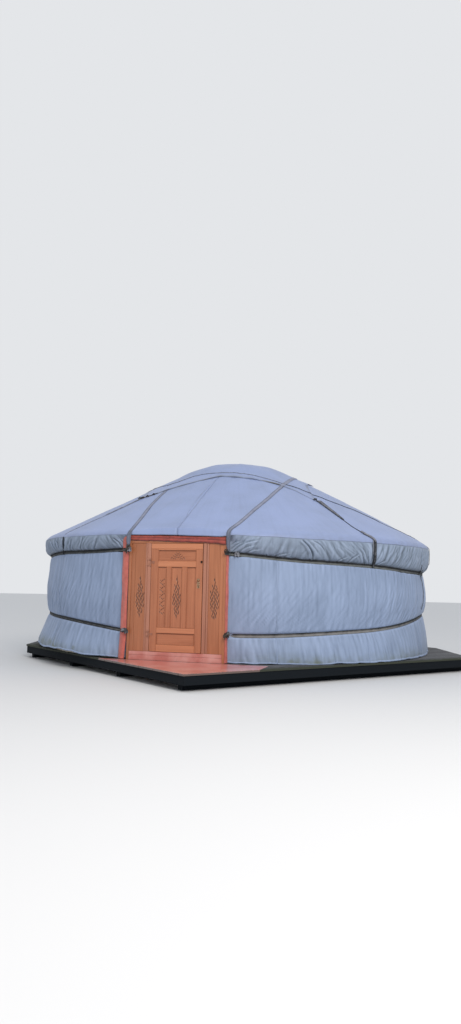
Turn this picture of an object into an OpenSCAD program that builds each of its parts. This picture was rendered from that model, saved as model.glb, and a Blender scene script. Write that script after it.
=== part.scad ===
// Round felt tent with a latticed wall, on a low timber deck.
// Millimetres, Z up, ground at Z 0, the tent's axis on the Z axis, the doorway facing -Y.
// Angles round the tent are counted from the doorway, positive towards +X.
// Heights of the tent itself are counted from a level a little below the deck's top.

/* [Deck] */
// Height of the deck's top over the ground
deck_h = 230; // [220:5:250]
// Length of a full side of the deck
deck_side = 6900; // [6850:10:7000]
// Turn of the deck against the doorway, in degrees
deck_turn = 6.5; // [5:0.5:8]
// Thickness of the deck boards
board_t = 28; // [25:1:32]
// Number of joists
joists = 12; // [11:1:14]

/* [Lattice wall] */
// Radius of the lattice's outer corners
lattice_r = 3350; // [3345:1:3352]
// Height of the highest crossings, where the roof poles rest
lattice_h = 1870; // [1860:1:1871]
// Rows of diamonds from the floor to the highest crossings
lattice_rows = 5; // [4:1:6]
// Width of a lath
lath_w = 30; // [24:1:34]
// Thickness of a lath
lath_t = 12; // [10:1:13]
// Half of the angle that the doorway leaves open
door_half_angle = 13.2; // [13.2:0.1:13.6]
// Lattice sections
sections = 6; // [6:1:6]

/* [Door] */
// Width of the whole door frame
frame_w = 1510; // [1500:2:1520]
// Width of the leaf
leaf_w = 800; // [780:2:810]
// Height of the leaf's lower edge
leaf_z = 151; // [148:1:160]
// Height of the leaf's upper edge
leaf_top = 1730; // [1700:1:1732]
// Thickness of the leaf
leaf_t = 46; // [40:1:50]
// Gap above, below and at the hinges of the leaf
leaf_gap = 5; // [5:0.5:8]
// Gap on the lock's side
lock_gap = 9; // [6:0.5:10]

/* [Roof] */
// Radius at which the roof's straight slope ends
slope_r = 3420; // [3415:1:3425]
// Height of the roof cover's top there
slope_z = 1935; // [1933:1:1937]
// Slope of the roof in degrees
roof_slope = 27.2; // [27:0.1:27.4]
// Outer radius of the crown ring
ring_r = 930; // [920:5:935]
// Height of the crown ring
ring_h = 120; // [110:2:122]
// Radial width of the crown ring
ring_w = 90; // [80:2:100]
// Spokes of the crown
spokes = 8; // [6:2:10]
// Thickness of a roof pole at its foot
pole_d = 38; // [34:1:40]
// Thickness of the felt, wall and roof alike
felt_t = 18; // [14:1:18]
// Thickness of the canvas
canvas_t = 4; // [3:0.5:4]

/* [Belts and ropes] */
// Width of the two belts round the wall
belt_w = 55; // [40:1:60]
// Width of the straps over the roof
strap_w = 68; // [50:1:75]
// Thickness of the webbing
web_t = 4; // [3:0.5:5]
// Thickness of the ropes
rope_d = 15; // [12:1:18]

/* [Hidden] */
$fn = 96;

paint = "#b8745c";
red_cloth = "#a8483f";
pale_canvas = "#a9b4cc";
grey_felt = "#c8c2b4";
weathered = "#6f6a60";
dark_timber = "#3a332c";
orange_wood = "#b5713f";
webbing = "#7c8094";

// Shared placing

// Height of the deck's top over the level that the tent's heights are counted from
floor_z = 20;

module on_deck() {
    translate([0, 0, deck_h - floor_z]) children();
}

// A point of the tent: angle from the doorway, radius, height
function at(a, r, z) = [r * sin(a), -r * cos(a), z];

// A solid through equal rings of points, closed at both ends
module loft(rings) {
    n = len(rings[0]);
    last = len(rings) - 1;
    points = [for (ring = rings) each ring];
    sides = [
        for (i = [0:last - 1], j = [0:n - 1])
            let (a = i * n + j, b = i * n + (j + 1) % n)
            each [[a, b, b + n], [a, b + n, a + n]]
    ];
    caps = [[for (j = [n - 1:-1:0]) j], [for (j = [0:n - 1]) last * n + j]];
    polyhedron(points, concat(sides, caps), convexity = 12);
}

// Angles of the loft columns between two angles
function steps(from, to, n) = [for (i = [0:n]) from + (to - from) * i / n];

// Deck

deck_front = [650, -4840];
chamfer_u = 1200;
chamfer_v = 1700;
porch_y = -3382;
rim_t = 28;
rim_h = 120;
rim_inset = 12;
sleeper_inset = 60;
joist_w = 50;
joist_h = 90;
sleeper_w = 110;
sleeper_h = deck_h - board_t - joist_h;
sleeper_v = [180, 1850, 3460, 5080, 6600];

// The deck is a square with its front corner left on and the other three cut off.
// u runs along its front right side and v along its front left side.
module deck_place() {
    translate([deck_front[0], deck_front[1], 0]) rotate(45 + deck_turn) children();
}

deck_corners = [
    [0, 0], [deck_side - chamfer_u, 0], [deck_side, chamfer_v], [deck_side, deck_side - chamfer_v],
    [deck_side - chamfer_u, deck_side], [chamfer_u, deck_side], [0, deck_side - chamfer_v]
];

function unit(v) = v / norm(v);

function left_of(v) = [-v[1], v[0]];

// The corners of a convex outline, drawn in by the same distance on every side
function drawn_in(points, d) =
    let (n = len(points))
    [
        for (i = [0:n - 1])
            let (
                before = left_of(unit(points[i] - points[(i + n - 1) % n])),
                after = left_of(unit(points[(i + 1) % n] - points[i]))
            )
            points[i] + d * (before + after) / (1 + before * after)
    ];

module deck_outline(inset = 0) {
    polygon(drawn_in(deck_corners, inset));
}

module deck_slab() {
    translate([0, 0, deck_h - board_t]) deck_place() linear_extrude(board_t) deck_outline();
}

module porch_side(front) {
    y = front ? porch_y - 6000 : porch_y + 1;
    translate([-6000, y, 0]) cube([12000, front ? 6000 : 12000, deck_h + 10]);
}

module deck_floor() {
    color(weathered) intersection() {
        deck_slab();
        porch_side(false);
    }
}

module porch_floor() {
    color(paint) intersection() {
        deck_slab();
        porch_side(true);
    }
}

// One mitred board under each side of the deck
module deck_rim() {
    outer = drawn_in(deck_corners, rim_inset);
    inner = drawn_in(deck_corners, rim_inset + rim_t);
    n = len(outer);
    color(dark_timber) translate([0, 0, deck_h - board_t - rim_h]) deck_place() linear_extrude(rim_h - 0.5)
        for (i = [0:n - 1])
            let (k = (i + 1) % n, joint = unit(outer[k] - outer[i]))
            polygon([outer[i] + joint, outer[k] - joint, inner[k] - joint, inner[i] + joint]);
}

module deck_joists() {
    inset = rim_inset + rim_t + 1;
    spacing = (deck_side - 2 * inset - joist_w) / (joists - 1);
    color(dark_timber)
        translate([0, 0, sleeper_h])
        deck_place()
        linear_extrude(joist_h - 0.5)
        intersection() {
            deck_outline(inset);
            for (i = [0:joists - 1])
                translate([inset + i * spacing, 0]) square([joist_w, deck_side]);
        }
}

module deck_sleepers() {
    inset = rim_inset + rim_t + sleeper_inset;
    color(dark_timber)
        deck_place()
        linear_extrude(sleeper_h - 0.5)
        intersection() {
            deck_outline(inset);
            for (v = sleeper_v) translate([0, v]) square([deck_side, sleeper_w]);
        }
}

// Door frame

frame_y = -3370;
frame_back = -3252;
post_w = 40;
jamb_in = leaf_w / 2 + leaf_gap;
jamb_w = 85;
jamb_out = jamb_in + jamb_w;
sill_top = leaf_z - leaf_gap;
head_z = leaf_top + leaf_gap;
head_top = 1841;
lintel_top = 1900;
panel_t = 22;
panel_back = 12;

module slab(x0, x1, y0, y1, z0, z1) {
    translate([x0, y0, z0]) cube([x1 - x0, y1 - y0, z1 - z0]);
}

module door_frame() {
    half = frame_w / 2;
    color(orange_wood) on_deck() {
        for (side = [0, 1]) mirror([side, 0, 0]) {
            slab(half - post_w, half, frame_y, frame_back, floor_z, head_top);
            slab(jamb_in, jamb_out, frame_y, frame_back, floor_z, head_top);
        }
        slab(-half, half, frame_y, frame_back, floor_z, sill_top);
        slab(-half, half, frame_y, frame_back, head_z, head_top);
        slab(-half, half, frame_y + 40, frame_back - 30, head_top - 1, lintel_top);
        // The stop that the leaf closes against
        for (side = [0, 1]) mirror([side, 0, 0])
            slab(jamb_in - 22, jamb_in + 1, frame_y + leaf_t + 6, frame_back, floor_z, head_top);
    }
}

module side_panel() {
    boards = 3;
    gap = 1;
    x0 = jamb_out + 0.5;
    x1 = frame_w / 2 - post_w - 0.5;
    board = (x1 - x0) / boards;
    color(orange_wood) on_deck() difference() {
        slab(x0, x1, frame_y + panel_back, frame_y + panel_back + panel_t, sill_top + gap, head_z - gap);
        for (i = [1:boards - 1])
            translate([x0 + board * i, frame_y + panel_back, 0]) rotate(45)
                translate([-3, -3, 0]) cube([6, 6, 2000]);
    }
}

module side_panel_right() { side_panel(); }

module side_panel_left() { mirror([1, 0, 0]) side_panel(); }

// Door leaf: stiles, rails and recessed panels

leaf_panel_back = 14;
// Each panel is the rectangle between rails and stiles: left, right, bottom, top
leaf_panels = [
    [-290, 290, 250, 420],
    [-295, -155, 497, 1385],
    [-85, 85, 497, 1385],
    [158, 300, 497, 1385],
    [-295, 295, 1470, 1630]
];

module leaf_recess(p) {
    depth = leaf_panel_back;
    slope = 8;
    translate([0, frame_y, 0]) rotate([90, 0, 0]) {
        translate([0, 0, -depth]) linear_extrude(depth + 1)
            translate([p[0], p[2]]) square([p[1] - p[0], p[3] - p[2]]);
    }
    // The back face has the same panels, less deep
    slab(p[0] + slope, p[1] - slope, frame_y + leaf_t - depth, frame_y + leaf_t + 1, p[2] + slope, p[3] - slope);
}

module door_leaf() {
    half = leaf_w / 2;
    color(orange_wood) on_deck() difference() {
        slab(-half, half + leaf_gap - lock_gap, frame_y, frame_y + leaf_t, leaf_z, leaf_top);
        for (p = leaf_panels) leaf_recess(p);
    }
}

lock_x = 338;
lock_z = 1080;
lock_w = 45;
lock_h = 140;

module door_lock() {
    color("#b09a6a") on_deck() {
        slab(lock_x - lock_w / 2, lock_x + lock_w / 2, frame_y - 4, frame_y - 0.2, lock_z, lock_z + lock_h);
        translate([lock_x, frame_y - 3, lock_z + lock_h - 32]) rotate([90, 0, 0]) cylinder(r = 9, h = 26);
        translate([lock_x, frame_y - 26, lock_z + lock_h - 32]) rotate([90, 0, 0]) cylinder(r = 15, h = 12);
    }
}

hinge_r = 8;
hinge_x = -(leaf_w / 2 + leaf_gap / 2);
hinge_y = frame_y - 11;
hinge_plate_w = 55;
hinge_plate_t = 4;
// Bottom and top of each hinge
hinges = [[350, 450], [1390, 1510]];

// A hinge's knuckles: part 0 is the leaf's middle one, part 1 the frame's outer two
module hinge_half(part) {
    gap = 1.5;
    color("#8a7f74") on_deck() for (h = hinges) {
        third = (h[1] - h[0]) / 3;
        bands = part == 0
            ? [[h[0] + third, h[1] - third]]
            : [[h[0], h[0] + third], [h[1] - third, h[1]]];
        for (b = bands) {
            z0 = b[0] + gap;
            z1 = b[1] - gap;
            translate([hinge_x, hinge_y, z0]) cylinder(r = hinge_r, h = z1 - z0, $fn = 48);
            x0 = part == 0 ? -leaf_w / 2 + 0.5 : -leaf_w / 2 - leaf_gap - hinge_plate_w;
            x1 = part == 0 ? -leaf_w / 2 + hinge_plate_w : -leaf_w / 2 - leaf_gap - 0.5;
            slab(x0, x1, frame_y - hinge_plate_t - 0.3, frame_y - 0.3, z0, z1);
            slab(min(hinge_x, part == 0 ? x0 + 6 : x1 - 6), max(hinge_x, part == 0 ? x0 + 6 : x1 - 6),
                frame_y - hinge_plate_t - 0.3, frame_y - hinge_plate_t + 1, z0, z1);
        }
    }
}

module leaf_hinges() { hinge_half(0); }

module frame_hinges() { hinge_half(1); }

// Cloth trims round the door frame

module head_trim() {
    z0 = leaf_top + leaf_gap + 1;
    z1 = head_top;
    r = 26;
    color(red_cloth) on_deck()
        translate([-710, frame_y - 0.5, 0]) rotate([0, 90, 0]) rotate(180)
        linear_extrude(1450)
        union() {
            translate([z0 + r, r]) circle(r);
            translate([z1 - r, r]) circle(r);
            translate([z0 + r, 0]) square([z1 - z0 - 2 * r, 2 * r]);
            translate([z0 + 6, 0]) square([z1 - z0 - 12, r]);
        }
}

trim_left_x = -856;
trim_right_x = 794;

module side_trims() {
    half = frame_w / 2 + 0.5;
    color(red_cloth) on_deck() {
        // The left strip turns out towards its foot
        translate([0, 0, floor_z + 2]) linear_extrude(head_top - floor_z - 2)
            polygon([[-half, frame_y - 14], [-half, frame_y + 30], [trim_left_x + 14, frame_y + 52],
                [trim_left_x, frame_y + 46], [trim_left_x + 6, frame_y + 20], [-half - 20, frame_y - 12]]);
        translate([0, 0, floor_z + 2]) linear_extrude(head_top - floor_z - 2)
            polygon([[half, frame_y - 10], [half, frame_y + 30], [trim_right_x, frame_y + 38],
                [trim_right_x, frame_y + 22]]);
    }
}

// Lattice wall: flat facets, each two diamonds wide, round the tent

section_angle = (360 - 2 * door_half_angle) / sections;
facets = 5;
facet_angle = section_angle / facets;
facet_w = 2 * lattice_r * sin(facet_angle / 2);
pitch = facet_w / 2;
row_h = (lattice_h - floor_z) / lattice_rows;
lath_slope = atan2(row_h, pitch);
facet_mid = lattice_r * cos(facet_angle / 2);
lath_head = 62;
lath_bite = 1;
narrowing = 2;
// Half of the narrow joint between two sections, in degrees
section_joint = 0.06;
// Place of the heads in a facet, as a share of the pitch
head_offset = 0.25;

// The laths of one facet that lean the same way, a little wider than the facet.
// The crossings keep clear of the facet's edges, where the laths bend.
module facet_laths(lean, w) {
    reach = lattice_rows + 2;
    width = facet_w + 20;
    intersection() {
        translate([-width / 2, floor_z + 3]) square([width, lattice_h + lath_head - floor_z - 3]);
        for (i = [-reach:reach])
            translate([(i + head_offset) * pitch, lattice_h])
                rotate(lean * lath_slope)
                translate([-lattice_h * 2, -w / 2])
                square([lattice_h * 4, w]);
    }
}

// The part of the tent between two angles
module wedge(from, to) {
    r = lattice_r * 1.1;
    linear_extrude(lattice_h + 2 * lath_head)
        polygon([[0, 0], [r * sin(from), -r * cos(from)], [r * sin(to), -r * cos(to)]]);
}

// One of the sections, counted from the doorway's right side round the back
module lattice(section) {
    start = door_half_angle + section * section_angle;
    color(orange_wood) on_deck() for (f = [0:facets - 1]) {
        from = start + f * facet_angle;
        to = from + facet_angle;
        // Where two facets meet, the laths of one are a little narrower, so that they meet inside the wider ones
        w = lath_w - (f % 2) * narrowing;
        intersection() {
            wedge(f == 0 ? from + section_joint : from, f == facets - 1 ? to - section_joint : to);
            rotate((from + to) / 2) translate([0, -facet_mid, 0]) rotate([90, 0, 0]) {
                translate([0, 0, -lath_t]) linear_extrude(lath_t) facet_laths(1, w);
                translate([0, 0, lath_bite - 2 * lath_t]) linear_extrude(lath_t) facet_laths(-1, w);
            }
        }
    }
}

module lattice_front_right() { lattice(0); }
module lattice_right() { lattice(1); }
module lattice_back_right() { lattice(2); }
module lattice_back_left() { lattice(3); }
module lattice_left() { lattice(4); }
module lattice_front_left() { lattice(5); }

// Felt wall

felt_r = lattice_r + 1;
felt_top = lattice_h + 20;

module felt_wall(section) {
    joint = 0.05;
    from = door_half_angle + section * section_angle + joint;
    color(grey_felt) on_deck() rotate(from - 90)
        rotate_extrude(angle = section_angle - 2 * joint, $fn = 360)
        translate([felt_r, floor_z + 2]) square([felt_t, felt_top - floor_z]);
}

module felt_wall_front_right() { felt_wall(0); }
module felt_wall_right() { felt_wall(1); }
module felt_wall_back_right() { felt_wall(2); }
module felt_wall_back_left() { felt_wall(3); }
module felt_wall_left() { felt_wall(4); }
module felt_wall_front_left() { felt_wall(5); }

// Canvas wall: held in by the belts, bulging between them and flaring below

// Heights of the belts and the hem by the angle round the tent
upper_belt_z = [[13, 1600], [21, 1556], [30, 1512], [42, 1492], [55, 1470], [70, 1425], [90, 1408], [135, 1425],
    [180, 1450], [225, 1480], [270, 1510], [305, 1556], [333, 1582], [342, 1615], [347, 1640]];
lower_belt_z = [[13, 415], [24, 420], [36, 474], [48, 540], [60, 604], [80, 690], [110, 720], [180, 700],
    [250, 660], [285, 625], [305, 596], [324, 551], [334, 505], [341, 467], [347, 425]];
hem_z = [[13, 25], [45, 25], [60, 48], [80, 50], [180, 45], [280, 70], [322, 84], [340, 46], [347, 30]];
hem_r = [[13, 3470], [30, 3500], [60, 3530], [180, 3540], [300, 3570], [335, 3550], [347, 3480]];

belt_r_upper = 3398;
belt_r_lower = 3384;
bulge_r = 3458;
canvas_top = 1790;

function wall_rows(a) =
    let (
        up = lookup(a, upper_belt_z),
        low = lookup(a, lower_belt_z),
        hem = lookup(a, hem_z),
        foot = lookup(a, hem_r),
        half = belt_w / 2,
        span = up - low
    )
    [
        [belt_r_upper + 6, canvas_top],
        [belt_r_upper, up + half],
        [belt_r_upper, up - half],
        [belt_r_upper + 0.6 * (bulge_r - belt_r_upper), up - 0.24 * span],
        [bulge_r, up - 0.48 * span],
        [bulge_r - 4, up - 0.68 * span],
        [belt_r_lower + 0.5 * (bulge_r - belt_r_lower), low + 0.14 * span],
        [belt_r_lower, low + half],
        [belt_r_lower, low - half],
        [belt_r_lower + 0.45 * (foot - belt_r_lower), low - 0.36 * (low - hem)],
        [foot - 6, low - 0.8 * (low - hem)],
        [foot, hem]
    ];

// One column of the sheet: its outer points downwards, then its inner points upwards
function sheet_ring(a, rows, thick) = concat(
    [for (p = rows) at(a, p[0], p[1])],
    [for (i = [len(rows) - 1:-1:0]) at(a, rows[i][0] - thick, rows[i][1])]
);

module canvas_wall(from, to, n) {
    color(pale_canvas) on_deck() loft([for (a = steps(from, to, n)) sheet_ring(a, wall_rows(a), canvas_t)]);
}

wall_start = 13.6;
wall_end = 360 - 14.6;
wall_columns = 44;

module canvas_wall_right() { canvas_wall(wall_start, 179.98, wall_columns); }

module canvas_wall_left() { canvas_wall(180.02, wall_end, wall_columns); }

// Roof surface

function roof_z(r) = slope_z + (slope_r - r) * tan(roof_slope);

eave_r = 3500;
eave_z = 1876;
canvas_v = canvas_t / cos(roof_slope);
felt_v = felt_t / cos(roof_slope);
pole_axis_drop = canvas_v + felt_v + pole_d / 2 / cos(roof_slope) + 2.2;

// Valance: the skirt of the roof cover, tied in by the upper belt

function valance_rows(a) =
    let (foot = lookup(a, upper_belt_z) + belt_w / 2 + 6)
    [
        [eave_r, eave_z - 1],
        [eave_r + 8, eave_z - 60],
        [eave_r - 4, foot + 0.35 * (eave_z - foot)],
        [eave_r - 50, foot + 0.1 * (eave_z - foot)],
        [belt_r_upper + canvas_t + 7, foot]
    ];

module valance(from, to, n) {
    color(pale_canvas) on_deck() loft([for (a = steps(from, to, n)) sheet_ring(a, valance_rows(a), canvas_t)]);
}

module valance_right() { valance(wall_start, 179.98, wall_columns); }

module valance_left() { valance(180.02, wall_end, wall_columns); }

// Roof felt in four pieces on the poles

felt_in = ring_r + 5;
felt_out = 3385;

module roof_felt(quarter) {
    joint = 0.05;
    drop = canvas_v + 0.8;
    color(grey_felt) on_deck() difference() {
        rotate(quarter * 90 - 45 - 90 + joint) rotate_extrude(angle = 90 - 2 * joint)
            polygon([
                [felt_in, roof_z(felt_in) - drop], [felt_out, roof_z(felt_out) - drop],
                [felt_out, roof_z(felt_out) - drop - felt_v], [felt_in, roof_z(felt_in) - drop - felt_v]
            ]);
        translate([-4000, frame_y - 5000, 0]) cube([8000, 5000, 5000]);
    }
}

module roof_felt_front() { roof_felt(0); }
module roof_felt_right() { roof_felt(1); }
module roof_felt_back() { roof_felt(2); }
module roof_felt_left() { roof_felt(3); }

// Roof cover in two halves that meet over the door

cover_in = 980;
apron_y = frame_y - 32;

module cover_profile() {
    polygon([
        [cover_in, roof_z(cover_in)], [slope_r, slope_z], [3468, slope_z - 30], [eave_r, eave_z],
        [eave_r - canvas_t, eave_z], [3463, slope_z - 30 - canvas_v], [slope_r, slope_z - canvas_v],
        [cover_in, roof_z(cover_in) - canvas_v]
    ]);
}

// The cover of the right side; the left is its mirror image
module roof_cover() {
    joint = 0.04;
    color(pale_canvas) on_deck() {
        difference() {
            rotate(-90 + joint) rotate_extrude(angle = 180 - 2 * joint) cover_profile();
            translate([-4000, apron_y - 5000, 0]) cube([8000, 5000, 5000]);
        }
        // The front edge hangs straight down over the door's head
        intersection() {
            slab(2.5, frame_w / 2 + 36, apron_y, apron_y + canvas_t, head_top + 3, 2100);
            rotate_extrude() polygon([[0, 0], [eave_r - 0.5, 0], [eave_r - 0.5, eave_z], [3467.5, slope_z - 30],
                [slope_r, slope_z - 0.5], [0, roof_z(0)]]);
        }
    }
}

module roof_cover_right() { roof_cover(); }

module roof_cover_left() { mirror([1, 0, 0]) roof_cover(); }

// Crown cover: a four-cornered sheet with hollow sides, pulled down by ropes at its corners

crown_lift = 1;
crown_corner = 2200;
// Radius and height of the cover's top over the crown
dome_line = [[0, 3449], [350, 3401], [700, 3335], [950, 3231]];
dome_foot = 1150;

// The sheet's outline, as radii by the angle: four corners with hollow sides, the front one pulled askew
crown_rim = [[-35.5, crown_corner], [-31, 2040], [-26.7, 1870], [-22, 1730], [-16, 1610], [-6.5, 1440], [2, 1330],
    [9, 1350], [16, 1385], [26.5, 1440], [33.5, 1510], [41.5, 1680], [47, 1920], [51.3, crown_corner], [56, 1950],
    [62, 1750], [70, 1560], [80, 1420], [96, 1340], [112, 1420], [122, 1560], [130, 1750], [136, 1950],
    [141, crown_corner], [146, 1950], [152, 1750], [160, 1560], [170, 1420], [186, 1340], [202, 1420], [212, 1560],
    [220, 1750], [226, 1950], [231, crown_corner], [236, 1950], [242, 1750], [250, 1560], [260, 1420], [276, 1340],
    [292, 1420], [304, 1560], [313, 1750], [319, 1950]];

module crown_outline() {
    polygon([for (p = crown_rim) [p[1] * sin(p[0]), -p[1] * cos(p[0])]]);
}

module crown_cover() {
    t = canvas_v;
    lift = crown_lift;
    outer = concat(dome_line, [for (r = [dome_foot, crown_corner + 50]) [r, roof_z(r) + lift + t]]);
    color(pale_canvas) on_deck() intersection() {
        rotate_extrude($fn = 240) polygon(concat(outer, [for (i = [len(outer) - 1:-1:0]) [outer[i][0], outer[i][1] - t]]));
        translate([0, 0, 2000]) linear_extrude(2000) crown_outline();
    }
}

// Roof poles, from the lattice's heads and the door's lintel to the crown ring

poles_per_side = sections * facets;
door_poles = [3, 9];
foot_r = 3346;
tenon = 22;
tenon_in = 40;

function axis_z(r) = roof_z(r) - pole_axis_drop;

module pole(a) {
    run = foot_r - ring_r - 8;
    length = run / cos(roof_slope);
    on_deck() rotate(a) translate([0, -foot_r, axis_z(foot_r)]) rotate([-(90 - roof_slope), 0, 0]) {
        cylinder(d1 = pole_d, d2 = pole_d - 8, h = length, $fn = 24);
        translate([-tenon / 2, -tenon / 2, length - 1]) cube([tenon, tenon, tenon_in + 1]);
    }
}

function head_angle(i) = door_half_angle + (i + head_offset) * facet_angle / 2;

pole_angles_right = concat(door_poles, [for (i = [0:poles_per_side - 1]) head_angle(i)]);
pole_angles_left = concat(-door_poles, [for (i = [poles_per_side:2 * poles_per_side - 1]) head_angle(i)]);

module roof_poles_right() {
    color(orange_wood) for (a = pole_angles_right) pole(a);
}

module roof_poles_left() {
    color(orange_wood) for (a = pole_angles_left) pole(a);
}

// Crown: a ring with a mortise for each pole, and bowed spokes to a hub

ring_mid = axis_z(ring_r);
hub_r = 110;
hub_h = 66;
spoke_t = 34;
spoke_deep = 46;
small_ring_r = 430;

// Height of the spokes' upper edge, close under the crown cover
function spoke_z(r) = lookup(r, dome_line) - canvas_v - 4;

module spoke() {
    reach = ring_r - ring_w + 6;
    n = 8;
    top = [for (i = [0:n]) let (r = reach * i / n) [r, spoke_z(r)]];
    foot = [[reach, ring_mid - ring_h / 2 + 20]];
    under = [for (i = [n - 1:-1:0]) let (r = reach * i / n) [r, spoke_z(r) - spoke_deep]];
    rotate([90, 0, 0]) translate([0, 0, -spoke_t / 2]) linear_extrude(spoke_t) polygon(concat(top, foot, under));
}

module crown() {
    color(orange_wood) on_deck() difference() {
        union() {
            rotate_extrude() translate([ring_r - ring_w, ring_mid - ring_h / 2]) square([ring_w, ring_h]);
            rotate_extrude() translate([small_ring_r, spoke_z(small_ring_r) - spoke_deep + 6]) square([30, 32]);
            translate([0, 0, spoke_z(hub_r) - hub_h]) cylinder(r = hub_r, h = hub_h);
            for (k = [0:spokes - 1]) rotate(k * 360 / spokes + 22.5) spoke();
        }
        for (a = concat(pole_angles_right, pole_angles_left))
            rotate(a) translate([0, -ring_r, axis_z(ring_r)]) rotate([-(90 - roof_slope), 0, 0])
                translate([-tenon / 2 - 1, -tenon / 2 - 1, -30]) cube([tenon + 2, tenon + 2, 30 + tenon_in + 2]);
    }
}

// Two posts that carry the crown

post_x = ring_r - ring_w / 2;
post_r = 36;

module crown_posts() {
    top = ring_mid - ring_h / 2 - 0.5;
    color(orange_wood) on_deck() for (side = [-1, 1]) translate([side * post_x, 0, 0]) {
        translate([-60, -60, floor_z + 0.5]) cube([120, 120, 50]);
        translate([0, 0, floor_z + 50]) cylinder(r = post_r, h = top - floor_z - 110);
        translate([-45, -150, top - 65]) cube([90, 300, 65]);
    }
}

// Belts, straps and ropes

// A belt's ends turn round the cloth trims to the front of the door frame.
// Each place is a plan point of the belt's inner face with the way that it faces.
belt_end_right = [[[735, -3392], [0, -1]], [[792, -3386], [0.7, -0.7]], [[803, -3350], [1, 0]]];
belt_end_left = [[[-866, -3330], [-1, 0]], [[-852, -3368], [-0.7, -0.7]], [[-790, -3394], [-0.2, -1]],
    [[-735, -3396], [0, -1]]];

// One ring of a belt at a plan point
function belt_ring(p, facing, z) =
    let (o = p + web_t * unit(facing), half = belt_w / 2)
    [[o[0], o[1], z + half], [o[0], o[1], z - half], [p[0], p[1], z - half], [p[0], p[1], z + half]];

module belt(table, r0) {
    angles = concat(steps(wall_start, 180, wall_columns), steps(180, wall_end, wall_columns));
    first = lookup(angles[0], table);
    last = lookup(wall_end, table);
    color(webbing) on_deck() loft(concat(
        [for (e = belt_end_right) belt_ring(e[0], e[1], first)],
        [
            for (i = [0:len(angles) - 1])
                if (i == 0 || angles[i] != angles[i - 1])
                    let (a = angles[i], way = [sin(a), -cos(a)])
                    belt_ring(r0 * way, way, lookup(a, table))
        ],
        [for (e = belt_end_left) belt_ring(e[0], e[1], last)]
    ));
}

module upper_belt() { belt(upper_belt_z, belt_r_upper + 1); }

module lower_belt() { belt(lower_belt_z, belt_r_lower + 1); }

// Height of the covers' top surface over a plan point, the crown cover included
function top_z(p) =
    let (r = norm([p[0], p[1]]))
    r > dome_foot ? roof_z(r) + canvas_v + crown_lift
    : lookup(r, concat(dome_line, [[dome_foot, roof_z(dome_foot) + canvas_v + crown_lift]]));

// Plan points between two corners of a route
function route(points, step) = [
    for (i = [0:len(points) - 2])
        let (a = points[i], b = points[i + 1], n = ceil(norm(b - a) / step))
        each [for (k = [0:n - 1]) a + (b - a) * k / n],
    points[len(points) - 1]
];

// Plan routes of the two straps, front to back
strap_left = [[-735, -3330], [-770, -2870], [-830, -2330], [-840, -1930], [-830, -1660], [-850, 0], [-840, 1700],
    [-800, 3300]];
strap_right = [[790, -3320], [850, -3120], [920, -2740], [1030, -2060], [1120, -1180], [1150, -720], [1150, -400],
    [1110, 0], [980, 1500], [860, 3290]];

module roof_strap(points) {
    plan = route(points, 45);
    color(webbing) on_deck() loft([
        for (i = [0:len(plan) - 1])
            let (
                p = plan[i],
                q = i == 0 ? plan[1] - p : p - plan[i - 1],
                side = [q[1], -q[0]] / norm(q) * strap_w / 2,
                a = p + side,
                b = p - side,
                lift = 5.5
            )
            [
                [a[0], a[1], top_z(a) + lift + web_t], [a[0], a[1], top_z(a) + lift],
                [b[0], b[1], top_z(b) + lift], [b[0], b[1], top_z(b) + lift + web_t]
            ]
    ]);
}

module roof_straps() {
    roof_strap(strap_left);
    roof_strap(strap_right);
}

// A round rope through points
module rope(points, d) {
    sides = 8;
    last = len(points) - 1;
    loft([
        for (i = [0:last])
            let (
                t = i == 0 ? points[1] - points[0] : i == last ? points[last] - points[last - 1]
                    : points[i + 1] - points[i - 1],
                along = t / norm(t),
                flat = cross(along, [0, 0, 1]) / norm(cross(along, [0, 0, 1])),
                up = cross(flat, along)
            )
            [for (k = [0:sides - 1]) points[i] + d / 2 * (cos(-k * 360 / sides) * flat + sin(-k * 360 / sides) * up)]
    ]);
}

// Each corner rope's angle at the crown cover's corner and at the belt
corner_rope_ends = [[51.3, 52.3], [141, 142], [231, 222], [324.5, 320.5]];

module corner_ropes() {
    lift = rope_d / 2 + 4;
    color(webbing) on_deck() for (ends = corner_rope_ends) {
        n = 10;
        on_roof = [
            for (i = [0:n])
                let (start = crown_corner + 14, r = start + (slope_r - start) * i / n,
                    a = ends[0] + (ends[1] - ends[0]) * i / n)
                at(a, r, roof_z(r) + lift + 2)
        ];
        a = ends[1];
        belt_z = lookup(a, upper_belt_z);
        down = [
            at(a, eave_r - 14, eave_z + 37), at(a, eave_r + 19, eave_z - 8),
            at(a, eave_r + 12 + lift, eave_z - 70),
            at(a, eave_r + 2 + lift, belt_z + 160), at(a, eave_r - 24 + lift, belt_z + 76),
            at(a, belt_r_upper + web_t + 20, belt_z + 20), at(a, belt_r_upper + web_t + 12, belt_z - 30)
        ];
        rope(concat(on_roof, down), rope_d);
    }
}

// Knots where the belts are made fast to the door frame: two crossed turns with a tail
knot_r = 11;

module knot(place) {
    translate(place) for (turn = [-50, 50])
        rotate([0, turn, 0]) cylinder(r = knot_r, h = 60, center = true, $fn = 32);
    translate(place + [0, 0, -75]) cylinder(r = knot_r - 5, h = 75, $fn = 32);
}

module belt_knots() {
    color(webbing) on_deck() for (side = [0, 1], table = [upper_belt_z, lower_belt_z]) {
        place = side == 0 ? belt_end_right[0][0] : belt_end_left[len(belt_end_left) - 1][0];
        z = lookup(side == 0 ? wall_start : wall_end, table);
        knot([place[0], place[1] - web_t - knot_r - 0.5, z]);
    }
}

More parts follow.
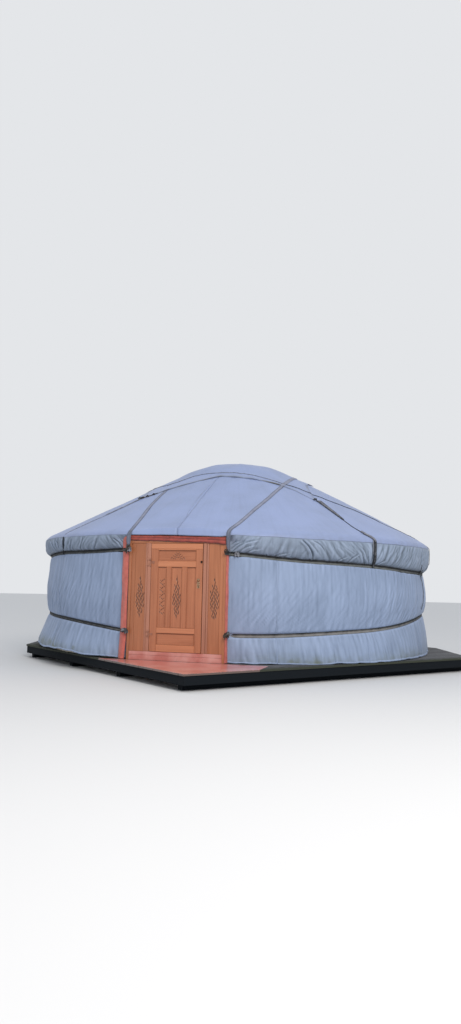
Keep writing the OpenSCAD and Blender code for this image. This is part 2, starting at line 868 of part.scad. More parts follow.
deck_floor();
porch_floor();
deck_rim();
deck_joists();
deck_sleepers();
door_frame();
side_panel_left();
side_panel_right();
door_leaf();
door_lock();
leaf_hinges();
frame_hinges();
head_trim();
side_trims();
lattice_front_right();
lattice_right();
lattice_back_right();
lattice_back_left();
lattice_left();
lattice_front_left();
felt_wall_front_right();
felt_wall_right();
felt_wall_back_right();
felt_wall_back_left();
felt_wall_left();
felt_wall_front_left();
canvas_wall_right();
canvas_wall_left();
valance_right();
valance_left();
roof_felt_front();
roof_felt_right();
roof_felt_back();
roof_felt_left();
roof_cover_right();
roof_cover_left();
crown_cover();
roof_poles_right();
roof_poles_left();
crown();
crown_posts();
upper_belt();
lower_belt();
roof_straps();
corner_ropes();
belt_knots();
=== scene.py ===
"""Looks of a round felt tent on a low timber deck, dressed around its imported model.

Metres, Z up, the tent's axis on the Z axis and the doorway facing -Y. Angles round the tent are in
degrees from the doorway, positive towards +X. Heights of the tent itself count from 20 mm under the
deck's top.
"""
import math

import bpy
import numpy as np
from mathutils import Matrix, Vector


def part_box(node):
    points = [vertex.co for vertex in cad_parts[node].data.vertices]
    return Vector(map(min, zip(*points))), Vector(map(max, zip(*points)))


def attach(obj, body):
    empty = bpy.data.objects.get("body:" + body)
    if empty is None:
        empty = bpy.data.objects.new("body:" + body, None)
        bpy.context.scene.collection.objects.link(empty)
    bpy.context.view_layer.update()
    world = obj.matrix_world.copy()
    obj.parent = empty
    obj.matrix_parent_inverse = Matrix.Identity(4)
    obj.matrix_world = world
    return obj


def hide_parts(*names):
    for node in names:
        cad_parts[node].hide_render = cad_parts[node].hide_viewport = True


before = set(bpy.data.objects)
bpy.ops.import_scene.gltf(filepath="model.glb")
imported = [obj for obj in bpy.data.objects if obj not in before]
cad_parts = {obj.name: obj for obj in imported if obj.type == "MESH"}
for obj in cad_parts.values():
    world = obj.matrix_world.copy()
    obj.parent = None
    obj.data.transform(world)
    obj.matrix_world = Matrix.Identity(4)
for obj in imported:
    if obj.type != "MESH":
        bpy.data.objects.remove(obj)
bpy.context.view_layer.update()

# Driving sizes, the same as in the model
FLOOR_Z = 0.02
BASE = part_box("deck_floor")[1].z - FLOOR_Z
FRAME_Y = -3.37
HEAD_TOP = 1.841
SLOPE_R, SLOPE_Z = 3.42, 1.935
SLOPE = math.tan(math.radians(27.2))
EAVE_R, EAVE_Z = 3.5, 1.876
APRON_Y = FRAME_Y - 0.032
WALL_START, WALL_END = 13.6, 345.4
BELT_W = 0.055
WEB_T = 0.004
UPPER_R, LOWER_R, BULGE_R = 3.398, 3.384, 3.458
CANVAS_TOP = 1.79
CANVAS_T = 0.0035
COVER_IN = 0.98
# The canvas reaches behind the red strips at both sides of the door
CLOTH_START, CLOTH_END = 13.05, 346.85

# Heights of the belts and the hem, and the hem's radius, by the angle round the tent
UPPER_BELT = (
    (13, 1.6), (21, 1.556), (30, 1.512), (42, 1.492), (55, 1.47), (70, 1.425), (90, 1.408), (135, 1.425),
    (180, 1.45), (225, 1.48), (270, 1.516), (290, 1.556), (305, 1.592), (318, 1.62), (333, 1.614),
    (342, 1.632), (347, 1.65))
LOWER_BELT = (
    (13, 0.415), (24, 0.42), (30, 0.438), (36, 0.454), (42.5, 0.475), (46.5, 0.484), (51, 0.494), (56, 0.511),
    (61, 0.536), (66.5, 0.566), (73, 0.612), (79, 0.651), (84, 0.685), (92, 0.706), (110, 0.72), (180, 0.7),
    (250, 0.66), (285, 0.625), (305, 0.596), (324, 0.551), (334, 0.505), (341, 0.467), (347, 0.425))
HEM_Z = ((13, 0.025), (50, 0.025), (60, 0.04), (80, 0.036), (180, 0.045), (280, 0.07), (322, 0.084),
         (340, 0.046), (347, 0.03))
# Height of the seam between the roof cover and its hanging edge
SEAM = ((13, 1.862), (20, 1.845), (36, 1.822), (64, 1.82), (80, 1.83), (100, 1.84), (180, 1.85),
        (280, 1.858), (347, 1.86))
HEM_R = ((13, 3.47), (30, 3.5), (60, 3.51), (80, 3.486), (95, 3.486), (180, 3.54), (300, 3.57), (335, 3.55),
         (347, 3.48))


def level(table, a):
    """The table's value at angles a, with its corners rounded off over a few degrees."""
    angles, values = zip(*table)
    return np.mean([np.interp(np.asarray(a, float) + d, angles, values) for d in (-4, -2, 0, 2, 4)], axis=0)


def roof_z(r):
    return SLOPE_Z + (SLOPE_R - r) * SLOPE


def at(a, r, z):
    """Points of the tent at angles a, radii r and heights z over the deck."""
    a = np.radians(a)
    return np.stack(np.broadcast_arrays(r * np.sin(a), -r * np.cos(a), z + BASE), axis=-1)


def outward(a):
    """The way straight out of the tent at angles a."""
    a = np.radians(a)
    return np.stack([np.sin(a), -np.cos(a), 0 * a], -1)


def apart(a, middle=0):
    """Degrees from the middle to angles a, from -180 to 180."""
    return (a - middle + 180) % 360 - 180


def angle_of(x, y):
    return np.degrees(np.arctan2(x, -y)) % 360


def unit(x):
    """x kept between 0 and 1."""
    return np.clip(x, 0, 1)


def bell(x, middle, width):
    """1 at the middle, falling off smoothly to both sides."""
    return np.exp(-((x - middle) / width) ** 2)


def bumps(x, y, seed):
    """Smooth random heights from -1 to 1 over a plane, about one bump a unit."""
    table = np.random.RandomState(seed).uniform(-1, 1, (128, 128))
    x, y = np.broadcast_arrays(np.asarray(x, float), np.asarray(y, float))
    i, j = np.floor(x).astype(int), np.floor(y).astype(int)
    s, t = x - i, y - j
    s, t = s * s * (3 - 2 * s), t * t * (3 - 2 * t)
    near, far = (table[i % 128, k % 128] * (1 - s) + table[(i + 1) % 128, k % 128] * s for k in (j, j + 1))
    return near * (1 - t) + far * t


def folds(x, y, seed):
    """Like bumps, with round crests and narrow valleys, as cloth folds have."""
    b = bumps(x, y, seed) + 0.4 * bumps(2.3 * x + 7, y, seed + 1)
    return b - 0.6 * np.maximum(0.25 - np.abs(b), 0) * 2


def tubes(x, y, seed):
    """Round crests side by side with sharp valleys between them, as in gathered cloth; about -0.5 to 0.5."""
    b = bumps(x, y, seed) + 0.25 * bumps(2.1 * x + 5, 1.4 * y, seed + 1)
    return np.abs(b) ** 0.75 - 0.45


def section(knots, steps, a):
    """Radii and heights of a cloth at angles a, smooth through its knots (radius, height), with that many
    steps between each two."""
    knots = np.array([np.broadcast_arrays(r, z, a)[:2] for r, z in knots]).transpose(0, 2, 1)
    ends = np.concatenate([2 * knots[:1] - knots[1:2], knots, 2 * knots[-1:] - knots[-2:-1]])
    rows = []
    for k, n in enumerate(steps):
        p0, p1, p2, p3 = ends[k:k + 4]
        for t in np.arange(n) / n:
            rows.append(0.5 * (2 * p1 + (p2 - p0) * t + (2 * p0 - 5 * p1 + 4 * p2 - p3) * t ** 2
                               + (3 * p1 - p0 - 3 * p2 + p3) * t ** 3))
    rows = np.array([*rows, knots[-1]])
    return rows[..., 0], rows[..., 1]


# Colour and materials


def linear(code):
    """An sRGB hex colour as linear RGBA."""
    parts = [int(code[i:i + 2], 16) / 255 for i in (1, 3, 5)]
    return [c / 12.92 if c <= 0.04045 else ((c + 0.055) / 1.055) ** 2.4 for c in parts] + [1.0]


def add(tree, kind, inputs=(), out=0, **settings):
    """Adds a node, or takes one that is there, and gives back one of its outputs; inputs holds, for each
    socket, a value or the output that feeds it."""
    node = tree.nodes.new("ShaderNode" + kind) if isinstance(kind, str) else kind
    for name, value in settings.items():
        setattr(node, name, value)
    for socket, source in (inputs if isinstance(inputs, dict) else dict(enumerate(inputs))).items():
        if isinstance(source, bpy.types.NodeSocket):
            tree.links.new(source, node.inputs[socket])
        else:
            node.inputs[socket].default_value = source
    return node.outputs[out]


def new_material(name, reads="", **shader_values):
    """A material, its tree and its shader, whose plain values are set on the shader's own sockets, and an
    output for each thing it reads: place is the point itself, and the others are named on the mesh."""
    material = bpy.data.materials.new(name)
    material.use_nodes = True
    tree = material.node_tree
    shader = tree.nodes["Principled BSDF"]
    add(tree, shader, {socket.replace("_", " "): value for socket, value in shader_values.items()})
    outputs = []
    for label in reads.split():
        out = "Vector" if label in ("cloth", "grain") else "Fac"
        outputs.append(add(tree, "TexCoord", out="Object") if label == "place" else
                       add(tree, "Attribute", out=out, attribute_name=label))
    return material, tree, shader, *outputs


def coated_canvas(name, clean, grimy_and_shaded, stain_and_shade, roughness, streak=0.2, hollow_shade=0.22):
    """Cotton canvas woven and then coated against rain: pale and a little glossy, cloudy with age, with
    painted highlight on its crests and painted shade in its hollows, streaked where rain ran down, and
    stained where damp gathers; on the valance that stain is painted shadow."""
    material, tree, shader, cloth, soil, crease = new_material(
        name, "cloth soil crease", Roughness=roughness, Sheen_Weight=0.08, Sheen_Roughness=0.4,
        Specular_IOR_Level=0.3)
    clouds = add(tree, "TexNoise", {"Vector": cloth, "Scale": 1.7, "Detail": 5})
    runs = add(tree, "Mapping", {"Vector": cloth, "Scale": (17, 0.8, 1)})
    streaks = add(tree, "TexNoise", {"Vector": runs, "Scale": 1, "Detail": 3})
    ageing = add(tree, "MapRange", (clouds, 0.42, 0.72, 0, 0.3))
    rain = add(tree, "MapRange", (streaks, 0.5, 0.75, 0, streak))
    # Painted shade in the hollows of the folds and painted highlight on their crests, added to clouds of age
    # and streaks of rain
    worn = add(tree, "Math", (crease, hollow_shade, ageing), operation="MULTIPLY_ADD")
    worn = add(tree, "Math", (worn, rain), operation="ADD")
    worn = add(tree, "Math", (worn, 0.22), operation="ADD", use_clamp=True)
    colour = add(tree, "Mix", {0: worn, 6: linear(clean), 7: linear(grimy_and_shaded)}, 2, data_type="RGBA")
    specks = add(tree, "TexNoise", {"Vector": cloth, "Scale": 11, "Detail": 7})
    patchy = add(tree, "MapRange", (specks, 0.35, 0.65, 0.35, 1))
    # Leaves have left a few round stains about 25 mm wide, one in each square metre or so
    dots = add(tree, "TexVoronoi", {"Vector": cloth, "Scale": 1.5})
    mark = add(tree, "MapRange", (dots, 0.028, 0.012))
    chosen = add(tree, "Math", (dots.node.outputs["Color"], 0.5), operation="GREATER_THAN")
    mark = add(tree, "Math", (mark, chosen), operation="MULTIPLY")
    # Darker where the mesh marks it, which is soiling on the wall and roof and painted shadow on the valance,
    # and at the leaf marks
    darkened = add(tree, "Math", (soil, patchy, mark), operation="MULTIPLY_ADD", use_clamp=True)
    colour = add(tree, "Mix", {0: darkened, 6: colour, 7: linear(stain_and_shade)}, 2, data_type="RGBA")
    # The real threads are under 1 mm apart, too fine to show, so they are drawn 3 mm apart
    threads = {"Vector": cloth, "Scale": 2 * math.pi / 0.003 / 20}
    warp, weft = (add(tree, "TexWave", threads, "Fac", bands_direction=way) for way in "XY")
    weave = add(tree, "Math", (warp, weft), operation="MULTIPLY")
    stretched = add(tree, "Mapping", {"Vector": cloth, "Scale": (30, 9, 1)})
    crumple = add(tree, "TexNoise", {"Vector": stretched, "Scale": 1, "Detail": 4})
    soft = add(tree, "Bump", {"Height": crumple, "Strength": 0.5, "Distance": 0.006})
    fine = add(tree, "Bump", {"Height": weave, "Strength": 0.25, "Distance": 0.0004, "Normal": soft})
    add(tree, shader, {"Base Color": colour, "Normal": fine})
    return material


def woven(name, pale, dark, patches, creased, threads, relief, **values):
    """Cloth or webbing: patches holds their scale, their range and their strength, creased how much the
    painted shade in folds and under overhangs, and the dark edges of webbing, darken it, threads their
    distance and direction, and relief the strength and height."""
    material, tree, shader, cloth, crease = new_material(name, "cloth crease", **values)
    clouds = add(tree, "TexNoise", {"Vector": cloth, "Scale": patches[0], "Detail": 5})
    patched = add(tree, "MapRange", (clouds, patches[1], patches[2], 0, patches[3]))
    depth = add(tree, "Math", (crease, creased, patched), operation="MULTIPLY_ADD", use_clamp=True)
    colour = add(tree, "Mix", {0: depth, 6: linear(pale), 7: linear(dark)}, 2, data_type="RGBA")
    weave = {"Vector": cloth, "Scale": 2 * math.pi / threads[0] / 20}
    ribs = add(tree, "TexWave", weave, "Fac", bands_direction=threads[1])
    bump = add(tree, "Bump", {"Height": ribs, "Strength": relief[0], "Distance": relief[1]})
    add(tree, shader, {"Base Color": colour, "Normal": bump})
    return material


def plain_cotton(name, bright, deep):
    """Cotton cloth dyed and sewn double: a soft matt red, deeper in its folds with painted shade."""
    return woven(name, bright, deep, (9, 0.4, 0.7, 0.4), 0.9, (0.002, "DIAGONAL"), (0.3, 0.0005),
                 Roughness=0.75, Sheen_Weight=0.25, Sheen_Roughness=0.5)


def woven_webbing(name, pale, dark, darkening):
    """Polyester webbing woven with a rib every 4 mm, greyed outdoors, with dark edges, dirty patches and, on
    the belts, painted shadow along the top.
    """
    return woven(name, pale, dark, (7, 0.42, 0.68, darkening), 0.8, (0.004, "X"), (0.6, 0.001), Roughness=0.8)


def stained_pine(name, pale, deep, carving="#4a2a1c"):
    """Planed pine, stained orange and varnished: long grain lines 6 to 12 mm apart under a satin gloss, each
    board of its own tone, and dark in the carving; the same marks paint shade at the mouldings and behind the
    leaf's edges, and a paler top rail as a painted reflection."""
    material, tree, shader, grain, tone, cut = new_material(
        name, "grain tone cut", Roughness=0.38, Coat_Weight=0.12, Coat_Roughness=0.3)
    long = add(tree, "Mapping", {"Vector": grain, "Scale": (1.6, 42, 42)})
    figure = add(tree, "TexNoise", {"Vector": long, "Scale": 1, "Detail": 6, "Distortion": 0.8})
    lines = add(tree, "MapRange", (figure, 0.34, 0.66))
    wide = add(tree, "Mapping", {"Vector": grain, "Scale": (0.9, 6, 6)})
    bands = add(tree, "TexNoise", {"Vector": wide, "Scale": 1, "Detail": 3})
    share = add(tree, "Math", (bands, 0.7, tone), operation="MULTIPLY_ADD")
    share = add(tree, "Math", (lines, 0.3, share), operation="MULTIPLY_ADD")
    share = add(tree, "MapRange", (share, 0.22, 1.1))
    wood = add(tree, "Mix", {0: share, 6: linear(pale), 7: linear(deep)}, 2, data_type="RGBA")
    carved = add(tree, "Mix", {0: cut, 6: wood, 7: linear(carving)}, 2, data_type="RGBA")
    bump = add(tree, "Bump", {"Height": lines, "Strength": 0.25, "Distance": 0.0008})
    add(tree, shader, {"Base Color": carved, "Normal": bump})
    return material


def floor_enamel(name, fresh, worn, bare):
    """Floor enamel brushed over boards: a wet gloss, paler where feet wear it and chipped at the edges."""
    material, tree, shader, grain, wear, place = new_material(
        name, "grain moss place", Roughness=0.3, Coat_Weight=0.5, Coat_Roughness=0.12)
    clouds = add(tree, "TexNoise", {"Vector": place, "Scale": 3.2, "Detail": 5})
    scuffs = add(tree, "MapRange", (clouds, 0.42, 0.66, 0, 0.75))
    paint = add(tree, "Mix", {0: scuffs, 6: linear(fresh), 7: linear(worn)}, 2, data_type="RGBA")
    specks = add(tree, "TexNoise", {"Vector": place, "Scale": 55, "Detail": 5})
    chip = add(tree, "Math", (wear, 0.62, specks), operation="MULTIPLY_ADD")
    chip = add(tree, "MapRange", (chip, 0.86, 0.92))
    colour = add(tree, "Mix", {0: chip, 6: paint, 7: linear(bare)}, 2, data_type="RGBA")
    brush = add(tree, "Mapping", {"Vector": grain, "Scale": (5, 260, 260)})
    strokes = add(tree, "TexNoise", {"Vector": brush, "Scale": 1, "Detail": 3})
    bump = add(tree, "Bump", {"Height": strokes, "Strength": 0.3, "Distance": 0.0006})
    add(tree, shader, {"Base Color": colour, "Normal": bump})
    return material


def weathered_timber(name, pale, deep, moss, shine=0.5):
    """Sawn softwood left outdoors: silver grey with open dark grain, and moss where it stays damp."""
    material, tree, shader, grain, tone, damp, place = new_material(
        name, "grain tone moss place", Roughness=0.85, Specular_IOR_Level=shine)
    long = add(tree, "Mapping", {"Vector": grain, "Scale": (2, 90, 90)})
    figure = add(tree, "TexNoise", {"Vector": long, "Scale": 1, "Detail": 6})
    lines = add(tree, "MapRange", (figure, 0.32, 0.68))
    share = add(tree, "Math", (lines, 0.7, tone), operation="MULTIPLY_ADD", use_clamp=True)
    wood = add(tree, "Mix", {0: share, 6: linear(pale), 7: linear(deep)}, 2, data_type="RGBA")
    tufts = add(tree, "TexNoise", {"Vector": place, "Scale": 9, "Detail": 7})
    grown = add(tree, "Math", (damp, 0.5, tufts), operation="MULTIPLY_ADD")
    grown = add(tree, "MapRange", (grown, 0.72, 0.86))
    colour = add(tree, "Mix", {0: grown, 6: wood, 7: linear(moss)}, 2, data_type="RGBA")
    height = add(tree, "Math", (grown, 2, lines), operation="MULTIPLY_ADD")
    bump = add(tree, "Bump", {"Height": height, "Strength": 0.6, "Distance": 0.002})
    add(tree, shader, {"Base Color": colour, "Normal": bump})
    return material


def flecked(name, first, second, flecks, spread, relief, **values):
    """Two colours mixed by noise with the settings flecks, over a range of it; relief holds what stands
    out (the noise, the mixed share, or fibres of about 1 mm), how strongly and how far. Without relief the
    gloss varies instead."""
    material, tree, shader, place = new_material(name, "place", **values)
    noise = add(tree, "TexNoise", {"Vector": place, **flecks})
    share = add(tree, "MapRange", (noise, *spread))
    colour = add(tree, "Mix", {0: share, 6: linear(first), 7: linear(second)}, 2, data_type="RGBA")
    fed = {"Base Color": colour}
    if relief:
        raised = {"noise": noise, "share": share}.get(relief[0]) or add(
            tree, "TexNoise", {"Vector": place, "Scale": 900, "Detail": 2})
        fed["Normal"] = add(tree, "Bump", {"Height": raised, "Strength": relief[1], "Distance": relief[2]})
    else:
        fed["Roughness"] = add(tree, "MapRange", (noise, 0.3, 0.7, 0.28, 0.5))
    add(tree, shader, fed)
    return material


def twisted_rope(name, pale, dark):
    """Weathered laid rope: matt, its fibres dark with damp and paler where they are rubbed."""
    return flecked(name, dark, pale, {"Scale": 24, "Detail": 6}, (0.35, 0.65), ("fibres", 0.5, 0.0008),
                   Roughness=0.9)


def pressed_felt(name, pale, deep):
    """Sheep's wool felted by hand: matt and fuzzy, with flecks and small lumps."""
    return flecked(name, pale, deep, {"Scale": 22, "Detail": 8}, (0.3, 0.7), ("noise", 0.5, 0.004),
                   Roughness=0.95, Sheen_Weight=0.3)


def frame_pine(name, pale, deep):
    """Laths and poles of stained pine: streaky along their length, satin, seen only indoors."""
    return flecked(name, pale, deep, {"Scale": 26, "Detail": 6, "Distortion": 1.4}, (0.35, 0.65),
                   ("share", 0.2, 0.0006), Roughness=0.45)


def tarnished_brass(name, bright, dull):
    """Rolled brass gone dull outdoors, brighter where hands rub it."""
    return flecked(name, bright, dull, {"Scale": 60, "Detail": 4}, (0.35, 0.65), None, Metallic=1.0)


# The canvas is white; these colours are its blue-grey in shade under the sky, painted shade set apart for the
# roof, the wall and the valance by how each is lit, and the valance's dark stain is painted shadow
ROOF_CANVAS = coated_canvas("coated_canvas_roof", "#94a4cd", "#7c89a5", "#66655f", 0.5, streak=0.14)
WALL_CANVAS = coated_canvas("coated_canvas_wall", "#93a4c2", "#65748c", "#6a7267", 0.6, hollow_shade=0.36)
VALANCE_CANVAS = coated_canvas("coated_canvas_valance", "#94a3ba", "#54606d", "#33363a", 0.6, 0.25, 0.42)
RED_COTTON = plain_cotton("dyed_cotton", "#c2675c", "#7c3a34")
# The roll over the door is the same red cotton drawn darker, as painted shade
SHADED_HEAD_COTTON = plain_cotton("dyed_cotton_roll_shaded", "#a2493f", "#47201e")
BELT_WEBBING = woven_webbing("webbing_belt", "#6c6f6d", "#14171a", 0.4)
LOWER_WEBBING = woven_webbing("webbing_lower_belt", "#848280", "#1d2022", 0.35)
STRAP_WEBBING = woven_webbing("webbing_strap", "#8e93a8", "#5e6474", 0.35)
ROPE = twisted_rope("laid_rope", "#62656b", "#2c2f33")
PALE_ROPE = twisted_rope("laid_rope_pale", "#8d9099", "#5f6069")
DARK_ROPE = twisted_rope("laid_rope_dark", "#4a423c", "#1f1c1b")
BLACK_ROPE = twisted_rope("laid_rope_black", "#34373c", "#14171b")
LEAF_PINE = stained_pine("stained_pine_leaf", "#c07c58", "#95583a")
PANEL_PINE = stained_pine("stained_pine_panel", "#b97753", "#925838")
JAMB_PINE = stained_pine("stained_pine_jamb", "#b47b64", "#925f49")
PORCH_ENAMEL = floor_enamel("coral_enamel", "#c4766a", "#d19a90", "#5c4a44")
SILL_ENAMEL = floor_enamel("salmon_enamel", "#b86d62", "#d8a59c", "#7c5a50")
DECK_TIMBER = weathered_timber("weathered_boards", "#6c6d70", "#303133", "#31352a")
# The deck's rim, joists and blocks are near black: painted shade of the shadow under the deck
SHADOWED_TIMBER = weathered_timber("dark_timber", "#161c22", "#090c0f", "#171d15", 0.15)
FELT = pressed_felt("wool_felt", "#d8d2c6", "#b3ab9c")
LATTICE_PINE = frame_pine("pine_laths", "#c07a45", "#8e4f28")
BRASS = tarnished_brass("rolled_brass", "#c9a688", "#86644a")
# Iron blackened with oil has the brass's uneven gloss
IRON = tarnished_brass("blackened_iron", "#4a3d36", "#231c19")
# The steel hinges were brushed over with the frame's stain, which left streaks
HINGE_PAINT = frame_pine("painted_steel", "#a9745c", "#875641")


# Meshes


def shown(name, verts, faces, material, nodes, slot, body="root", smooth=True, **attributes):
    """A piece from vertices and faces, with named values on its points, that stands for CAD nodes."""
    mesh = bpy.data.meshes.new(name)
    verts = np.asarray(verts, float).reshape(-1, 3)
    mesh.from_pydata([tuple(v) for v in verts], [], [tuple(f) for f in faces])
    for label, values in attributes.items():
        values = np.asarray(values, np.float32).ravel()
        kind, field = ("FLOAT_VECTOR", "vector") if len(values) == 3 * len(verts) else ("FLOAT", "value")
        mesh.attributes.new(label, kind, "POINT").data.foreach_set(field, values)
    mesh.polygons.foreach_set("use_smooth", [smooth] * len(mesh.polygons))
    mesh.materials.append(material)
    piece = bpy.data.objects.new(name, mesh)
    bpy.context.scene.collection.objects.link(piece)
    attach(piece, body)
    if nodes:
        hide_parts(*nodes)
    return piece


def grid_faces(rows, cols, around=False):
    i, j = np.meshgrid(np.arange(rows - 1), np.arange(cols if around else cols - 1), indexing="ij")
    k = (j + 1) % cols
    return np.stack([i * cols + j, (i + 1) * cols + j, (i + 1) * cols + k, i * cols + k], -1).reshape(-1, 4)


def measured(points):
    """Metres along and down a grid of points, as a pattern for its weave."""
    flat = np.zeros(points.shape)
    flat[:, 1:, 0] = np.cumsum(np.linalg.norm(np.diff(points, axis=1), axis=2).mean(0))
    flat[1:, :, 1] = np.cumsum(np.linalg.norm(np.diff(points, axis=0), axis=2).mean(1))[:, None]
    return flat


def hollows(push, reach=4, scale=0.006):
    """Where a sheet lies deeper than its surroundings along each row, up to 1, or higher, down to -1."""
    padded = np.pad(push, ((0, 0), (reach, reach)), mode="edge")
    mean = np.mean([padded[:, k:k + push.shape[1]] for k in range(2 * reach + 1)], axis=0)
    return np.clip((mean - push) / scale, -1, 1)


def sheet(name, points, material, nodes, slot="canvas", thick=CANVAS_T, soil=0.0, crease=0.0, around=False):
    """A sheet of cloth from a grid of points, rows downwards and columns towards +X at the door."""
    size = points.shape[:2]
    piece = shown(name, points, grid_faces(*size, around), material, nodes, slot, cloth=measured(points),
                  soil=np.broadcast_to(soil, size), crease=np.broadcast_to(crease, size))
    body = piece.modifiers.new("cloth_thickness", "SOLIDIFY")
    body.thickness = thick
    body.offset = -1
    return piece


# Wall canvas

# How far round the door on both sides the grids are fine, and their rows between each two knots of the wall
FINE_SIDE = 97
WALL_STEPS = (2, 2, 2, 11, 13, 13, 11, 3, 2, 3, 8, 7, 3)


def spread(start, end, fine, coarse):
    """Angles from start to end, a fine step apart on the door's side and a coarse one behind."""
    right = start < FINE_SIDE
    edge, steps = (FINE_SIDE, (fine, coarse)) if right else (360 - FINE_SIDE, (coarse, fine))
    parts = [np.linspace(a0, a1, int((a1 - a0) / step) + 1)
             for (a0, a1), step in zip(((start, edge), (edge, end)), steps)]
    return np.concatenate([parts[0], parts[1][1:]])


# Columns and rows of the grids, and points along a belt
COVER_COLUMNS = 230
CROWN_COLUMNS, CROWN_ROWS = 252, 42
BELT_POINTS = 700


def near_door(a):
    """0 at the canvas's edges beside the door, 1 from 5 degrees away."""
    away = unit(np.minimum(a - CLOTH_START, CLOTH_END - a) / 5)
    return away * away * (3 - 2 * away)


def wall_grid(a):
    """The wall canvas at angles a: its points, how far its folds push out, its soiling and where a highlight
    is painted along the belts.
    """
    up, low, hem, foot = (level(t, a) for t in (UPPER_BELT, LOWER_BELT, HEM_Z, HEM_R))
    half, span, fall = BELT_W / 2, up - low, low - hem
    full = BULGE_R - 0.022 * bell(a, 285, 22)
    flare = np.where(a < 180, 0.66, 0.5) * (foot - LOWER_R)
    r, z = section((
        (UPPER_R + 0.006, CANVAS_TOP), (UPPER_R, up + half), (UPPER_R - 0.002, up - half),
        (UPPER_R + 0.014, up - half - 0.022), (UPPER_R + 0.62 * (full - UPPER_R), up - 0.24 * span),
        (full, up - 0.48 * span), (full - 0.004, up - 0.7 * span),
        (LOWER_R + 0.42 * (full - LOWER_R), low + half + 0.028),
        (LOWER_R - 0.002, low + half - 0.004), (LOWER_R - 0.002, low - half + 0.004),
        (LOWER_R + 0.02, low - half - 0.02), (LOWER_R + flare, low - 0.42 * fall),
        (foot - 0.008, low - 0.82 * fall), (foot, hem)), WALL_STEPS, a)
    # Near the door the canvas is tied flat against the frame
    tied = near_door(a)
    r = LOWER_R + 0.01 + (r - LOWER_R - 0.01) * (0.25 + 0.75 * tied)
    u = np.radians(a) * BULGE_R
    below_up, above_low = np.maximum(up - half - z, 0), np.maximum(z - low - half, 0)
    t = unit(below_up / (span - BELT_W))
    between = (z < up - half) & (z > low + half)
    # Folds stand upright by the door; further round they lean to the left on their way down
    lean = np.interp(a, (13, 50, 62, 85, 180, 300, 325, 347), (0.0, 0.05, 0.4, 0.4, 0.2, 0.3, 0.35, 0.0))
    calm = 0.55 + 0.45 * np.interp(a, (16, 22, 46, 60, 90), (1.0, 0.0, 0.1, 1.0, 1.0))
    mid = np.sin(np.pi * t) ** 0.5
    tilted = u + lean * np.maximum(up - z, 0) ** 2 / span
    push = between * (
        calm * 0.007 * mid * folds(tilted / 0.15, z / 1.1, 11)
        + calm * 0.0055 * mid * tubes(tilted / 0.075, z / 0.45, 12)
        + (0.4 + 0.6 * calm) * 0.0042 * mid * tubes((tilted - 0.1 * z) / 0.042, z / 0.16, 23)
        + 0.0085 * np.exp(-below_up / 0.13) * (1 - np.exp(-below_up / 0.015)) * tubes(u / 0.052, z / 0.7, 13)
        + 0.013 * np.exp(-above_low / 0.11) * (1 - np.exp(-above_low / 0.02))
        * folds((u - 0.3 * z) / 0.08, z / 0.4, 14))
    # Slanting puckers in patches, the most of them just above the lower belt at both ends
    patch = unit(bumps(u / 0.75, z / 0.5, 15) + 0.35) * calm
    push = push + between * 0.011 * patch * bell(t, 0.62, 0.24) * tubes((u - 0.7 * z) / 0.07, z / 0.26, 16)
    ends = np.interp(a, (13, 26, 34, 46, 53, 72, 80, 180, 285, 318, 330, 345),
                     (0.2, 0.8, 0.3, 0.4, 1.0, 1.0, 0.6, 0.5, 1.0, 1.0, 0.4, 0.3))
    push = push + between * 0.014 * ends * bell(t, 0.83, 0.13) * tubes((u - 0.85 * z) / 0.05, z / 0.17, 24)
    # The skirt hangs in broad folds that open towards the hem
    drop = unit((low - half - z) / (fall - half))
    skirt = z < low - half
    loose = 1 + 0.9 * bell(a, WALL_START + 4, 3.0)
    push = push + skirt * (
        0.018 * drop ** 0.9 * loose * folds((u - 0.05 * drop) / 0.24, 0.4 * drop, 17)
        + 0.013 * drop ** 0.7 * tubes((u - 0.07 * drop) / 0.1, 0.7 * drop, 18)
        + 0.006 * drop ** 0.5 * tubes((u - 0.06 * drop) / 0.045, 1.6 * drop, 25)
        + 0.012 * np.exp(-drop / 0.3) * (1 - np.exp(-drop / 0.05)) * tubes(u / 0.055, drop, 19))
    z = z + skirt * drop ** 2 * (0.012 * bumps(u / 0.42, 0, 20) + 0.006 * bumps(u / 0.13, 0, 21))
    z = np.maximum(z, FLOOR_Z + 0.004)
    push = push * (0.15 + 0.85 * tied)
    # Splashed from the deck, and a blotch where a plant has leaned on it
    splash = np.interp(a, (13, 22, 27, 38, 43, 52, 62, 76, 84, 180, 285, 296, 316, 326, 336, 347),
                       (0.3, 0.5, 1.1, 1.1, 0.5, 0.5, 0.9, 0.8, 0.5, 0.6, 1.2, 1.6, 1.6, 0.7, 0.35, 0.25))
    ground = 0.58 + 0.12 * bumps(u / 0.25, 0, 26)
    soil = splash * (unit(drop - ground) / (1 - ground)) ** 1.1
    soil = soil * (0.75 + 0.35 * bumps(u / 0.16, drop * 2, 22)) * (drop < 0.97) + 0.06 * skirt
    soil = soil + 0.9 * unit(1.3 - np.hypot((a - 330.2) / 0.9, (drop - 0.84) / 0.05))
    # Painted highlight in lines along the belts, where the canvas swells out beside them
    pale = sum(bell(z, line, 0.01) for line in (up - half - 0.012, low + half + 0.012, low - half - 0.014))
    return at(a, r + push, z), push, unit(soil), pale


